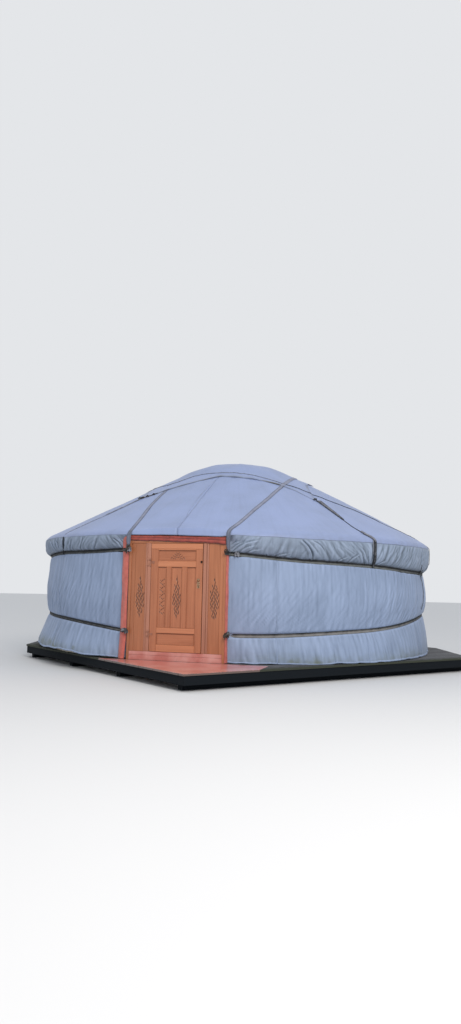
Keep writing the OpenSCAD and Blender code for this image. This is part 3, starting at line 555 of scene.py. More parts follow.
def canvas_wall(side, start, end):
    a = spread(start, end, 0.19, 1.7)
    points, push, soil, pale = wall_grid(a)
    # Painted shade in the hollows of the folds, and painted highlight on their crests and along the belts
    wall = sheet("wall_canvas_" + side, points, WALL_CANVAS, ["canvas_wall_" + side],
                 soil=soil, crease=hollows(push, 5, 0.005) - 0.9 * pale)
    # The hem is turned up and sewn double
    hem = points[-2:] + 0.0022 * outward(a)
    sewn = [sheet("wall_hem_" + side, hem, WALL_CANVAS, [], thick=0.0018, crease=-0.6)]
    for k, middle in enumerate(np.arange(start + 12, end - 6, 25.3)):
        lap = middle + np.linspace(-0.17, 0.17, 5)
        strip = wall_grid(lap)[0][5:] + 0.0026 * outward(lap)
        sewn.append(sheet(f"wall_seam_{side}_{k}", strip, WALL_CANVAS, [], thick=0.0015, soil=0.04))


# Valance, the hanging edge of the roof cover

# Tucks in it: angle and height of both ends, width and depth
TUCKS = (
    (31.0, 1.8, 33.9, 1.55, 0.012, 0.04), (33.7, 1.8, 36.4, 1.69, 0.01, 0.02),
    (13.8, 1.66, 17.2, 1.767, 0.009, 0.024), (14.2, 1.63, 19.6, 1.785, 0.01, 0.026),
    (15.6, 1.612, 18.8, 1.71, 0.009, 0.02), (17.2, 1.595, 20.4, 1.66, 0.008, 0.018),
    (14.0, 1.735, 15.6, 1.765, 0.007, 0.034), (23.4, 1.52, 27.2, 1.61, 0.009, 0.024),
    (23.6, 1.52, 22.2, 1.59, 0.007, 0.02), (26.6, 1.56, 28.0, 1.59, 0.007, 0.016),
    (40.5, 1.5, 43.0, 1.59, 0.009, 0.018), (44.0, 1.5, 46.5, 1.64, 0.009, 0.018),
    (50.3, 1.5, 48.0, 1.62, 0.01, 0.028), (50.6, 1.52, 49.3, 1.7, 0.008, 0.02),
    (54.0, 1.5, 56.5, 1.56, 0.01, 0.02), (312.0, 1.82, 314.6, 1.6, 0.013, 0.03),
    (316.5, 1.83, 317.8, 1.61, 0.01, 0.026), (326.0, 1.8, 322.5, 1.61, 0.012, 0.026),
    (331.5, 1.82, 329.0, 1.64, 0.012, 0.022), (337.0, 1.8, 334.5, 1.64, 0.01, 0.022),
    (343.0, 1.8, 344.8, 1.65, 0.008, 0.02), (344.6, 1.79, 345.6, 1.66, 0.007, 0.018))

# How its folds lean by the angle (metres to the left for each metre down), and their strength
GATHERS = (
    (13, 0.6, 1.2), (19.5, 0.5, 1.2), (21.5, 0.4, 0.4), (29.5, 0.3, 0.35), (32, -0.6, 1.0), (40, -0.7, 1.0),
    (47, -1.4, 0.9), (50, -0.7, 1.0), (53, 0.3, 1.0), (58, 0.6, 1.2), (85, 0.6, 1.2), (180, 0.2, 1.0),
    (280, 0.3, 0.6), (300, 0.45, 0.8), (316, 0.1, 1.3), (321, 0.3, 1.3), (325, 1.0, 1.0), (335, 0.9, 0.8),
    (340, -0.6, 0.8), (347, -1.0, 1.0))


def cover_edge(a):
    """Radius of the roof cover's edge at angles a, which is cut straight over the door and beside it."""
    turn = apart(a)
    front = np.abs(turn) < 40
    straight = np.where(front, -APRON_Y / np.cos(np.radians(np.where(front, turn, 0))), 9.0)
    return np.minimum(straight, EAVE_R + 0.01)


def valance_grid(a):
    """The valance at angles a, gathered in by the upper belt: its points, and how far its folds push out."""
    foot = level(UPPER_BELT, a) + BELT_W / 2 - 0.006
    seam = level(SEAM, a)
    deep = seam - foot
    edge = cover_edge(a)
    r, z = section((
        (edge - 0.006, seam + 0.008), (edge + 0.001, seam - 0.02), (edge + 0.002, foot + 0.66 * deep),
        (edge - 0.012, foot + 0.38 * deep), (edge - 0.046, foot + 0.14 * deep), (UPPER_R + 0.014, foot)),
        (3, 6, 6, 5, 4), a)
    tied = near_door(a)
    u = np.radians(a) * EAVE_R
    q = unit((seam - z) / deep)
    r = r - 0.085 * (1 - tied) * unit((r - UPPER_R - 0.014) / 0.09) * unit(q / 0.35)
    w = seam - z
    angles, *rows = zip(*GATHERS)
    slant, strong = (np.interp(a, angles, row) for row in rows)
    push = np.sin(np.pi * q) ** 0.6 * strong * (
        0.024 * tubes((u + slant * w) / 0.15, w / 0.34, 32)
        + 0.015 * tubes((u + 1.25 * slant * w) / 0.072, w / 0.22, 33)
        + 0.007 * tubes((u + 0.8 * slant * w) / 0.04, w / 0.16, 34))
    push = push + 0.016 * q ** 3 * (1 - q ** 8) * tubes((u + 0.6 * slant * w) / 0.05, w / 0.2, 35)
    for a0, z0, a1, z1, width, sunk in TUCKS:
        u0, u1 = math.radians(a0) * EAVE_R, math.radians(a1) * EAVE_R
        length = math.hypot(u1 - u0, z1 - z0)
        way = ((u1 - u0) / length, (z1 - z0) / length)
        along = ((u - u0) * way[0] + (z - z0) * way[1]) / length
        bowed = 0.1 * length * np.sin(np.pi * unit(along))
        off = ((u - u0) * way[1] - (z - z0) * way[0] + bowed) / width
        fade = unit(np.minimum(along + 0.1, 1.1 - along) / 0.25)
        push = push + fade * sunk * (0.45 * bell(off, 1.9, 1.5) - bell(off, 0, 1))
    # The corner ropes pinch the cloth, which swells on both sides of them
    for k in range(4):
        angles, _, heights = rope_fall(k)
        du = (u - np.radians(np.interp(z, heights[::-1], angles[::-1])) * EAVE_R) / 0.05
        push = push + np.sin(np.pi * q) * (0.02 * bell(np.abs(du), 2.4, 1.3) - 0.03 * bell(du, 0, 1))
    return at(a, r + push * (0.3 + 0.7 * tied), z), push


def valance(side, start, end):
    a = spread(start, end, 0.125, 1.1)
    points, push = valance_grid(a)
    q = np.linspace(0, 1, len(points))[:, None]
    # Painted shadow: darker towards the foot and near black where the cloth gathers over the belt; painted
    # shade over the whole left side, which gets less light; darker too round 30 degrees and along the seam at
    # the top; painted shade in the hollows of its folds
    soil = 0.16 * q + 0.75 * unit((q - 0.9) / 0.08)
    soil = soil + 0.16 * bell(a, 30, 14) * (0.4 + q)
    left = side == "left"
    soil = soil + (0.2 if left else 0.35) * (q < 0.03) + 0.1 * left
    cloth = sheet("roof_valance_" + side, points, VALANCE_CANVAS, ["valance_" + side], soil=soil,
                  crease=hollows(push, 7, 0.0055))


# Roof cover


def roof_lift(a, r):
    """How far the roof cover stands off its slope at angles a and radii r."""
    turn = apart(a)
    u = np.radians(turn) * r
    out = unit((r - 1.0) / 2.4)
    ridge = np.cos(np.radians(a - 13.2 - 1.39) * 360 / 5.56)
    lift = 0.0045 + 0.002 * ridge * np.sin(np.pi * out) ** 0.5
    lift = lift + 0.0045 * bumps(u / 0.5, r / 0.9, 41) + 0.0022 * bumps(u / 0.16, r / 0.7, 42)
    # Long shallow creases run from the crown to the eave
    lift = lift + 0.004 * unit(folds(u / 0.22, r / 1.6, 43))
    # On the right the cover stands off the poles
    lift = lift + 0.032 * bell(turn, 86, 28) * np.sin(np.pi * out ** 0.75) ** 0.7
    return np.maximum(lift, 0.0035)


def roof_grid(a):
    """The roof cover at angles a, straight over the door and turned down at the eave everywhere."""
    turn = apart(a)
    edge = cover_edge(a)
    away = np.interp(np.abs(turn), (11, 15), (0, 1))
    # Over the door the edge sags to the right
    share = edge * np.sin(np.radians(turn)) / 0.75
    over_door = HEAD_TOP + 0.008 - 0.01 * share - 0.012 * unit(share)
    low = (1 - away) * over_door + away * level(SEAM, a)
    # It bends down more sharply over the door, where the felt reaches its edge
    round_off = 0.15 + 0.85 * away
    knots = [(r, roof_z(r)) for r in (COVER_IN, 1.6, 2.3, 2.9)]
    knots += [(edge - d, roof_z(edge - d) - drop * round_off)
              for d, drop in ((0.18, 0.0), (0.09, 0.0), (0.034, 0.01), (0.009, 0.026))]
    r, z = section([*knots, (edge + 0.001, low)], (6, 10, 10, 8, 4, 4, 4, 5), a)
    lift = roof_lift(a, r) * unit((edge - r) / 0.03 + 0.2)
    # Wavy lower edge, with a dark line of stitches along it
    rows = np.linspace(0, 1, len(r))[:, None]
    lift = lift + unit((rows - 0.92) / 0.08) * 0.004 * bumps(np.radians(turn) * r / 0.22, 0, 44)
    stitched = np.interp(turn, (-15, 10, 14), (0.15, 0.25, 0.7))
    soil = 0.3 * unit((r - 3.42) / 0.1) ** 2 + 0.6 * stitched * (rows > 0.985)
    return at(a, r, z + lift), soil


def roof_cover(side, start, end):
    points, soil = roof_grid(np.linspace(start, end, COVER_COLUMNS))
    cover = sheet("roof_canvas_" + side, points, ROOF_CANVAS, ["roof_cover_" + side], soil=soil)


def roof_seam():
    """A felled seam from the crown to the door, drawn a little to the left half-way down."""
    y = np.linspace(-1.36, -3.38, 60)
    x = np.interp(-y, (1.36, 1.63, 1.89, 2.16, 2.35, 2.55, 2.78, 2.97, 3.38),
                  (0.0, -0.02, -0.04, -0.06, -0.06, -0.04, -0.03, -0.01, 0.0)) + 0.006 * bumps(y / 0.2, 0, 45)
    x, y = np.broadcast_arrays(x[:, None] + np.array((-0.008, -0.006, 0.0, 0.006, 0.008)), y[:, None])
    r = np.hypot(x, y)
    rise = np.array((0.0008, 0.002, 0.0024, 0.002, 0.0008)) * 1.2
    z = roof_z(r) + roof_lift(angle_of(x, y), r) + rise
    row = np.arange(60)[:, None]
    fade = 0.3 - 0.25 * row / 59 + 0.25 * bumps(row / 2.5, 0, 46) + 0.6 * (np.abs(row - 12) < 1)
    points = np.stack([x, y, z + BASE], -1)
    sheet("roof_seam", points, ROOF_CANVAS, [], thick=0.001, soil=unit(fade), crease=0.05)


# Crown cover

# Radius and height of the cover over the crown and onto the roof
DOME = ((0.0, 3.449), (0.35, 3.401), (0.7, 3.335), (0.95, 3.231),
        *((r, roof_z(r) + 0.006) for r in (1.15, 1.6, 2.3)))
CORNER_R = 2.2
CORNERS = (51.3, 141, 231, 324.5)
# The outline's radius by the angle: the front is pulled askew, and both sides behind are alike
BEHIND = ((-29, 1.42), (-19, 1.56), (-11, 1.75), (-5, 1.95), (0, CORNER_R), (5, 1.95), (11, 1.75), (19, 1.56),
          (29, 1.42), (45, 1.34))
RIM = (
    (-35.5, CORNER_R), (-31, 2.04), (-26.7, 1.87), (-22, 1.73), (-16, 1.61), (-6.5, 1.44), (2, 1.33),
    (9, 1.35), (16, 1.385), (26.5, 1.44), (33.5, 1.51), (41.5, 1.64), (47, 1.88), (51.3, CORNER_R),
    (56, 1.9), (62, 1.69), (70, 1.51), (80, 1.42), (86, 1.47), (90, 1.38), (96, 1.34),
    *((corner + d, r) for corner in (141, 231) for d, r in BEHIND), (292, 1.42), (304, 1.56), (313, 1.75),
    (319, 1.95))

# Routes of the straps in plan, and the points where each comes down over the front (x, y before the
# frame's face, height)
STRAP_LEFT = ((-0.735, -3.33), (-0.77, -2.87), (-0.83, -2.33), (-0.84, -1.93), (-0.83, -1.66),
              (-0.85, 0.0), (-0.84, 1.7), (-0.8, 3.3))
STRAP_RIGHT = ((0.79, -3.32), (0.85, -3.12), (0.92, -2.74), (1.03, -2.06), (1.12, -1.18),
               (1.15, -0.72), (1.15, -0.4), (1.11, 0.0), (0.98, 1.5), (0.86, 3.29))
DOWN_LEFT = ((-0.742, 0.052, 1.66), (-0.745, 0.066, 1.76), (-0.745, 0.066, 1.84), (-0.738, 0.05, 1.895))
DOWN_RIGHT = ((0.8, 0.05, 1.6), (0.798, 0.066, 1.7), (0.796, 0.068, 1.83), (0.79, 0.05, 1.895))
STRAP_W = 0.068


def dome_z(r):
    """Height of the crown cover at radii r, smooth through the dome's points."""
    rs, zs = zip(*DOME)
    return np.mean([np.interp(np.abs(r + d), rs, zs) for d in np.linspace(-0.09, 0.09, 7)], axis=0)


def crown_rim(a):
    """Radius of the crown cover's outline at angles a."""
    return np.interp(a, *zip(*RIM), period=360)


def crown_surface(a, r):
    """Points of the crown cover at angles a and radii r; the cloth sags between the crown's spokes."""
    share = r / crown_rim(a)
    between = (1 - np.cos(np.radians(a - 22.5) * 8)) / 2
    off = -0.02 * between * unit(r / 0.25) * unit((1.05 - r) / 0.3)
    off = off + 0.005 * bumps(np.radians(a) * 5, r / 0.35, 51) * unit(share)
    # The rim stands off in low waves, and at the right the wind lifts it
    windy = apart(a, 86)
    quiet = bell(apart(a, 295), 0, 22)
    off = off + unit(share - 0.8) * (1 - 0.8 * quiet) * (0.03 + 0.05 * bumps(np.radians(a) * 9, 0, 52))
    off = off - 0.004 * quiet * unit((r - 0.6) / 0.2) + 0.022 * bell(windy, 0, 28) * unit((r - 1.0) / 0.4)
    off = off + 0.014 * bell(windy, 0, 10) * unit((share - 0.8) / 0.2)
    # The crown's inner ring holds it up, and past the crown it lies close on the roof
    off = np.maximum(off, np.where(r < 1.05, -0.022 + 0.018 * bell(r, 0.45, 0.075), -0.003))
    # It lies over the left strap
    x, y = r * np.sin(np.radians(a)), -r * np.cos(np.radians(a))
    route_x, route_y = zip(*STRAP_LEFT)
    off = off + 0.011 * bell(x, np.interp(y, route_y, route_x), 0.06) * unit((r - 1.05) / 0.2)
    z = dome_z(r) + 0.003 + off
    # And over the roof cover
    return at(a, r, np.where(r > 1.12, np.maximum(z, roof_z(r) + roof_lift(a, r) + 0.005), z))


def crown_cover():
    """The crown cover whole, from its middle to its rim."""
    a, share = np.meshgrid(np.linspace(0, 360, CROWN_COLUMNS, endpoint=False),
                           np.linspace(0.0, 1.0, CROWN_ROWS) ** 0.9)
    points = crown_surface(a, np.maximum(share, 0.002) * crown_rim(a))
    # The hem is dark with stitches and dirt, but for the tip that the wind bends up at the right
    soil = (0.15 * (share > 0.92) + 0.8 * (share > 0.962)) * (1 - bell(a, 90, 18)) \
        * (1 - 0.6 * bell(apart(a, 288), 0, 22)) * (0.75 + 0.45 * bumps(np.radians(a) * 12, 0, 53))
    cover = sheet("crown_canvas", points, ROOF_CANVAS, ["crown_cover"], soil=soil, around=True)


# Belts, straps and ropes

# Points beside the door where the belts end, each with the way the belt faces there
BELT_END_RIGHT = ((0.735, -3.392, 0, -1), (0.792, -3.386, 0.7, -0.7), (0.803, -3.35, 1, 0))
BELT_END_LEFT = ((-0.866, -3.33, -1, 0), (-0.852, -3.368, -0.7, -0.7), (-0.79, -3.394, -0.2, -1),
                 (-0.735, -3.396, 0, -1))
# Darkness of each line along a webbing, from its lower edge to its upper one; on the belts the upper lines
# are painted shadow of the canvas that swells out over them
UPPER_DARK = (0.3, 0.9, 0.5, 0.0, 0.1, 0.8, 1.2, 1.2, 1.2)
LOWER_DARK = (0.9, 0.8, 0.2, 0.0, 0.2, 0.5, 1.0, 1.1, 1.1)
STRAP_DARK = (0.9, 0.9, 0.5, 0.0, 0.0, 0.0, 0.5, 0.9, 0.9)


def lengths(points):
    """Metres along a path from its start to each of its points."""
    return np.concatenate([[0], np.cumsum(np.linalg.norm(np.diff(points, axis=0), axis=1))])


def directions(ways):
    """The same ways, each 1 long."""
    ways = np.asarray(ways, float)
    return ways / np.linalg.norm(ways, axis=1)[:, None]


def walked(points, step):
    """Points along straight stretches, about one step apart."""
    points = [np.asarray(p, float) for p in points]
    found = []
    for a, b in zip(points, points[1:]):
        n = max(1, math.ceil(np.linalg.norm(b - a) / step))
        found += [a + (b - a) * k / n for k in range(n)]
    return np.array(found + [points[-1]])


def smoothed(points, turns):
    """The same points with their corners rounded off."""
    points = np.array(points, float)
    for _ in range(turns):
        points[1:-1] = (points[:-2] + 2 * points[1:-1] + points[2:]) / 4
    return points


def ribbon(name, path, facing, across, width, dark, material, nodes, seed):
    """Webbing along a path: facing is the way its face looks and across the way of its width."""
    facing, across, length = directions(facing), directions(across), lengths(path)
    shares = np.array([-0.5, -0.46, -0.3, -0.07, 0.0, 0.07, 0.3, 0.46, 0.5, 0.5, -0.5]) * width[:, None]
    rise = np.append(np.array([0.0, 1.0, 0.75, 1.0, 0.35, 1.0, 0.75, 1.0, 0.0]) * WEB_T + 0.001, (0.0, 0.0))
    place = 0.0025 * bumps(length / 0.35, 0, seed)[:, None] + shares
    ring = path[:, None] + across[:, None] * place[..., None] + facing[:, None] * rise[:, None]
    cloth = np.stack(np.broadcast_arrays(length[:, None], shares, 0), -1)
    return shown(name, ring, grid_faces(*place.shape, True), material, nodes, "webbing", cloth=cloth,
                 crease=np.pad(dark, ((0, 0), (0, 2)), constant_values=1.0))


def belt(name, table, radius, dark, material, wide, sink, darkening):
    """A belt of two webbings side by side, wide in all, sunk a little under its seat on the canvas."""
    angles = np.linspace(WALL_START, WALL_END, BELT_POINTS)
    z = level(table, angles) - sink
    path = np.vstack([[(x, y, z[0] + BASE) for x, y, *_ in BELT_END_RIGHT], at(angles, radius, z),
                      [(x, y, z[-1] + BASE) for x, y, *_ in BELT_END_LEFT]])
    way = np.vstack([[(*f, 0) for _, _, *f in BELT_END_RIGHT], outward(angles),
                     [(*f, 0) for _, _, *f in BELT_END_LEFT]])
    # Drawn together where it is knotted
    length = lengths(path)
    width = wide * (0.45 + 0.55 * unit(np.minimum(length, length[-1] - length) / 0.22))
    # Darker left of the door and far round to the right
    darkened = np.interp(length / length[-1], (0, 0.13, 0.2, 0.5, 0.8, 0.97, 1), (0, 0, 0.8, 0.8, 1.0, 1.0, 0.3))
    dark = dark + darkening * darkened[:, None]
    ribbon(name + "_webbing", path, way, [(0, 0, 1)] * len(path), width, dark, material, [name], 61)


def cover_z(x, y):
    """Height of the topmost cover over the deck at plan points."""
    r, a = np.hypot(x, y), angle_of(x, y)
    roof = roof_z(np.minimum(r, SLOPE_R)) + roof_lift(a, r)
    return np.where(r < crown_rim(a) + 0.02, crown_surface(a, r)[..., 2] - BASE, roof)


def roof_strap(side, corners, down, nodes):
    """A strap over the roof, from the belt's knot at the door to the upper belt behind."""
    plan = smoothed(walked(corners, 0.03), 12)
    covered = np.hypot(*plan.T) < crown_rim(angle_of(*plan.T))
    # The left one runs under the crown cover, the right one over it
    z = cover_z(*plan.T) + 0.001 + (0.003 if side == "right" else -0.024) * covered
    across = directions(np.gradient(plan, axis=0))[:, ::-1] * (1, -1)
    edges = [cover_z(*(plan + sign * STRAP_W / 2 * across).T) for sign in (-1, 1)]
    across = np.column_stack([across, np.clip((edges[1] - edges[0]) / STRAP_W, -0.4, 0.4)])
    path = np.column_stack([plan, z + BASE])
    facing = np.cross(across, np.gradient(path, axis=0))
    facing[facing[:, 2] < 0] *= -1
    front = walked([(x, FRAME_Y - y, h + BASE) for x, y, h in down] + [path[0]], 0.03)[:-1]
    # Behind it bends over the eave and down the valance
    turn = angle_of(*plan[-1])
    low = level(UPPER_BELT, turn)
    bend = ((3.474, EAVE_Z + 0.03), (3.518, EAVE_Z - 0.01), (3.535, EAVE_Z - 0.07), (3.533, low + 0.18),
            (3.515, low + 0.11), (3.466, low + 0.05), (UPPER_R + 0.014, low + 0.02),
            (UPPER_R + 0.014, low))
    back = walked([path[-1], *(at(turn, r, h) for r, h in bend)], 0.02)[1:]
    out = outward(turn)
    flat = np.array((-out[1], out[0], 0))
    path = smoothed(np.vstack([front, path, back]), 4)
    facing = smoothed(np.vstack([[(0, -1, 0.05)] * len(front), facing, [out + (0, 0, 0.05)] * len(back)]), 6)
    across = np.vstack([[across[0]] * len(front), across, [flat * np.sign(flat @ across[-1])] * len(back)])
    # Gathered where it is knotted to the belt, and darker where it hangs down in front
    place = np.arange(len(path))
    width = STRAP_W * (0.45 + 0.55 * unit((place - 0.5) / 3.5))
    dark = np.array(STRAP_DARK) + np.interp(place - len(front), (-3, 6), (0.8, 0.0))[:, None]
    dark[len(front):-len(back)] *= np.where(covered & (side == "right"), 0.25, 1.0)[:, None]
    ribbon("roof_strap_" + side, path, facing, across, width, dark, STRAP_WEBBING, nodes, 62)


def rope(name, points, thick, material=ROPE, nodes=()):
    """Laid rope along points: three strands that turn once every three diameters."""
    points = np.asarray(points, float)
    length = lengths(points)
    count, sides = max(4, int(length[-1] / (0.55 * thick))), 12
    where = np.linspace(0, length[-1], count)
    line = smoothed(np.column_stack([np.interp(where, length, points[:, k]) for k in range(3)]), 3)
    along = directions(np.gradient(line, axis=0))
    side = directions(np.cross(along, (0.13, 0.27, 1.0)))
    up = np.cross(side, along)
    turn = np.arange(sides) * 2 * math.pi / sides
    twist = where[:, None] * 2 * math.pi / (3 * thick)
    radius = thick / 2 * (0.86 + 0.14 * np.cos(3 * (turn - twist)))
    ring = line[:, None] + radius[..., None] * (
        np.cos(turn)[:, None] * side[:, None] + np.sin(turn)[:, None] * up[:, None])
    faces = [tuple(f[::-1]) for f in grid_faces(count, sides, True)]
    faces += [tuple(range(sides)), tuple(range(count * sides - 1, (count - 1) * sides - 1, -1))]
    shown(name, ring, faces, material, nodes, "rope")


# Each corner rope's angle and radius on the roof, and its angles from the eave down to the upper belt
ROPE_ROOF = (((52.2, 2.21), (49.9, 3.395)), ((141, 2.21), (142, 3.4)), ((231, 2.21), (222, 3.4)),
             ((324.5, 2.21), (321.4, 3.4)))
ROPE_FALL = ((51.0, 51.9, 51.8, 51.8, 52.0, 52.5, 53.0, 52.9), (142,) * 8, (222,) * 8,
             (321.5, 321.7, 322.1, 321.95, 321.4, 319.7, 318.2, 318.5))


def rope_fall(k):
    """Angles, radii and heights of a corner rope from the eave down to the upper belt."""
    z = level(UPPER_BELT, ROPE_FALL[k][6])
    radii = (3.474, 3.514, 3.526, 3.522, 3.504, 3.455, UPPER_R + 0.016, UPPER_R + 0.018)
    heights = [EAVE_Z + d for d in (0.032, -0.012, -0.07)]
    heights += [z + d for d in (0.18, 0.11, 0.05, 0.005, -0.022)]
    return ROPE_FALL[k], radii, heights


def corner_ropes():
    """A rope from each corner of the crown cover over the eave and the valance to the upper belt."""
    for k, (corner, eave) in enumerate(ROPE_ROOF):
        a, r = (np.linspace(start, end, 40) for start, end in zip(corner, eave))
        pale = k == 3
        if k == 0:
            a = np.interp(r, (2.21, 2.48, 2.79, 3.15, 3.4), (52.2, 51.4, 50.4, 49.7, eave[0]))
        thick = 0.009 if pale else 0.013
        on_roof = at(a, r, roof_z(r) + roof_lift(a, r) + 0.4 * thick)
        hanging = np.stack([at(*spot) for spot in zip(*rope_fall(k))])
        name = f"corner_rope_{k}"
        rope(name, np.vstack([on_roof, hanging[:1]]), thick, (BLACK_ROPE, ROPE, ROPE, PALE_ROPE)[k],
             [] if k else ["corner_ropes"])
        # Doubled and dark from the eave down; the front right one has a pale sleeve over the bend
        out = outward(ROPE_FALL[k][3])
        beside = np.array((-out[1], out[0], 0))
        lower = walked(hanging[1:] if pale else [on_roof[-1], *hanging], 0.02)
        sway = (0.005 if pale else 0.016) + 0.003 * np.sin(np.arange(len(lower)) / 3.5)
        for j, way in enumerate((-sway, sway)):
            rope(f"{name}_down_{j}", lower + beside * way[:, None], 0.013 if pale else 0.021, BLACK_ROPE)
        if not pale:
            rope(name + "_core", lower + beside * 0.001, 0.02)
        if k == 0:
            bend = smoothed(walked([on_roof[-3], on_roof[-1], *hanging[:3]], 0.01)[:-3], 6)
            rope("rope_sleeve", bend + (0.006, -0.012, 0.01), 0.034, PALE_ROPE)
            rope("rope_tail", hanging[1:4] + beside * -0.042, 0.014, PALE_ROPE)
        # Spare turns lie along it near the corner, drawn together on their way down the roof
        turns = ((20, 0.016), (14, 0.03)) if k else ((24, -0.024), (22, 0.01), (21, 0.036), (24, 0.062))
        for j, (reach, away) in enumerate(turns):
            lay = on_roof[:reach] + beside * away * np.linspace(1, 0.1, reach)[:, None] ** 0.7
            rope(f"{name}_loop_{j}", lay + (0, 0, 0.006), 0.016 if k else 0.022,
                 ROPE if j in (0, 3) and not pale else PALE_ROPE)


def knot(name, centre, face, thick, seed, tail=0.12, material=ROPE, nodes=()):
    """A rope knot: crossed turns round each other, with a loose end."""
    draw = np.random.RandomState(seed)
    face = Vector(face).normalized()
    side = face.cross(Vector((0, 0, 1))).normalized()
    up = side.cross(face)
    lean, wide, high = draw.uniform(0.3, 1.2), draw.uniform(1.3, 1.9), draw.uniform(1.2, 2.0)
    points = [Vector(centre) + thick * (side * wide * math.sin(t) + up * high * math.sin(2 * t + lean)
                                        + face * 0.9 * (1 + 0.6 * math.cos(3 * t)))
              for t in np.linspace(0, 4 * math.pi, 60)]
    swing = draw.uniform(-0.3, 0.3)
    points += [points[59] - up * (tail * s) + side * (swing * tail * s * s) + face * (0.2 * thick)
               for s in np.linspace(0.1, 1, 8)]
    rope(name, points, thick, material, nodes)


# Knots of the belts: x, y before the frame's face, height, thickness, tail and colour of each turn
KNOTS = (
    (-0.742, 0.05, 1.655, 0.021, 0.06, DARK_ROPE), (-0.726, 0.058, 1.632, 0.018, 0.045, PALE_ROPE),
    (-0.752, 0.046, 1.69, 0.016, 0.05, ROPE), (-0.768, 0.044, 1.618, 0.018, 0.07, DARK_ROPE),
    (0.764, 0.046, 1.62, 0.014, 0.03, DARK_ROPE), (0.788, 0.044, 1.602, 0.014, 0.04, BLACK_ROPE),
    (0.8, 0.042, 1.636, 0.012, 0.03, PALE_ROPE), (-0.762, 0.042, 0.44, 0.019, 0.06, ROPE),
    (-0.74, 0.046, 0.425, 0.015, 0.04, ROPE), (-0.79, 0.04, 0.45, 0.016, 0.03, PALE_ROPE),
    (0.79, 0.042, 0.428, 0.02, 0.05, DARK_ROPE), (0.812, 0.04, 0.446, 0.016, 0.03, ROPE),
    (0.775, 0.044, 0.41, 0.015, 0.06, DARK_ROPE))


def belt_knots():
    """The belts and straps are made fast at the door frame's edges."""
    for k, (x, out, z, thick, tail, material) in enumerate(KNOTS):
        knot(f"belt_knot_{k}", (x, FRAME_Y - out, z + BASE), (0.1, -1, 0.1), thick, 70 + k, tail, material,
             [] if k else ["belt_knots"])
    # The upper belt's end is wound into a pale ball right of the door
    knot("belt_ball", at(15.1, UPPER_R + 0.016, 1.58), (0.26, -0.96, 0.1), 0.02, 95, 0.02, PALE_ROPE)


def crown_ropes():
    """Thin ropes: one laid over the front of the crown cover and down the side, and a knot at each corner."""
    route = (
        (-1.5, -0.9), (-1.2, -1.1), (-0.87, -1.34), (-0.69, -1.25), (-0.57, -1.17), (-0.39, -1.15),
        (-0.04, -1.18), (0.33, -1.14), (0.67, -1.11), (1.12, -1.13), (1.39, -1.06), (1.58, -1.09),
        (1.82, -1.01), (2.05, -0.98), (2.28, -0.84), (2.52, -0.78), (2.77, -0.84), (2.88, -0.76),
        (3.02, -0.55), (3.2, -0.25), (3.38, 0.05))
    plan = smoothed(walked(route, 0.02), 20)
    line = np.column_stack([plan, cover_z(*plan.T) + 0.006 + BASE])
    cut, last = (int(np.argmax(plan[:, 0] > x)) for x in (1.1, 2.72))
    rope("crown_line", line[:cut + 1], 0.011, PALE_ROPE)
    rope("crown_line_right", line[cut:last + 1], 0.013)
    rope("crown_line_end", line[last:], 0.01, PALE_ROPE)
    # Round the side it hangs down out of sight, and comes out again above the knot
    foot = 81.0
    knot_z = level(UPPER_BELT, foot)
    down = [at(*spot) for spot in (
        (92.0, 3.487, EAVE_Z + 0.022), (94.0, 3.524, EAVE_Z - 0.012), (95.0, 3.532, 1.74), (93.0, 3.52, 1.6),
        (88.0, 3.47, 1.5), (83.0, 3.44, 1.455), (foot, UPPER_R + 0.016, knot_z),
        (foot, UPPER_R + 0.022, knot_z - 0.04), (foot, 3.456, knot_z - 0.16), (81.3, 3.476, 1.08),
        (81.0, 3.474, 0.93), (80.0, 3.452, 0.8))]
    rope("side_rope", [line[-1], *down], 0.011)
    # The end that comes out above the knot is the dark rope, as painted shadow under the valance
    end = [at(78.0, 3.484, 1.56), at(78.4, 3.486, 1.525), at(80.0, 3.45, 1.47), down[6]]
    rope("side_rope_end", end, 0.013, DARK_ROPE)
    # The front left corner is tied down along its edge too
    edge = np.linspace(325.3, 330.5, 14)
    rope("corner_tie", crown_surface(edge, crown_rim(edge) - 0.012) + (0, 0, 0.006), 0.01, DARK_ROPE)
    for k, a in enumerate((325.6, 327.2, 329.3)):
        spot = crown_surface(a, crown_rim(a) - 0.01)
        knot(f"tie_knot_{k}", spot, (0.1, -0.6, 0.8), 0.013, 96 + k, 0.02, DARK_ROPE)
    for k, a in enumerate(CORNERS):
        spot = crown_surface(a, CORNER_R - 0.02)
        if k == 1:
            spot = at(a, CORNER_R + 0.05, roof_z(CORNER_R + 0.05))
        knot(f"corner_knot_{k}", spot + (0, 0, 0.004), (0.1, -0.6, 0.8), 0.016, 80 + k, 0.05)
    knot("side_knot", at(foot, UPPER_R + 0.012, knot_z), (1, -0.1, 0.1), 0.013, 91, 0.1)


# Red cloth round the door frame


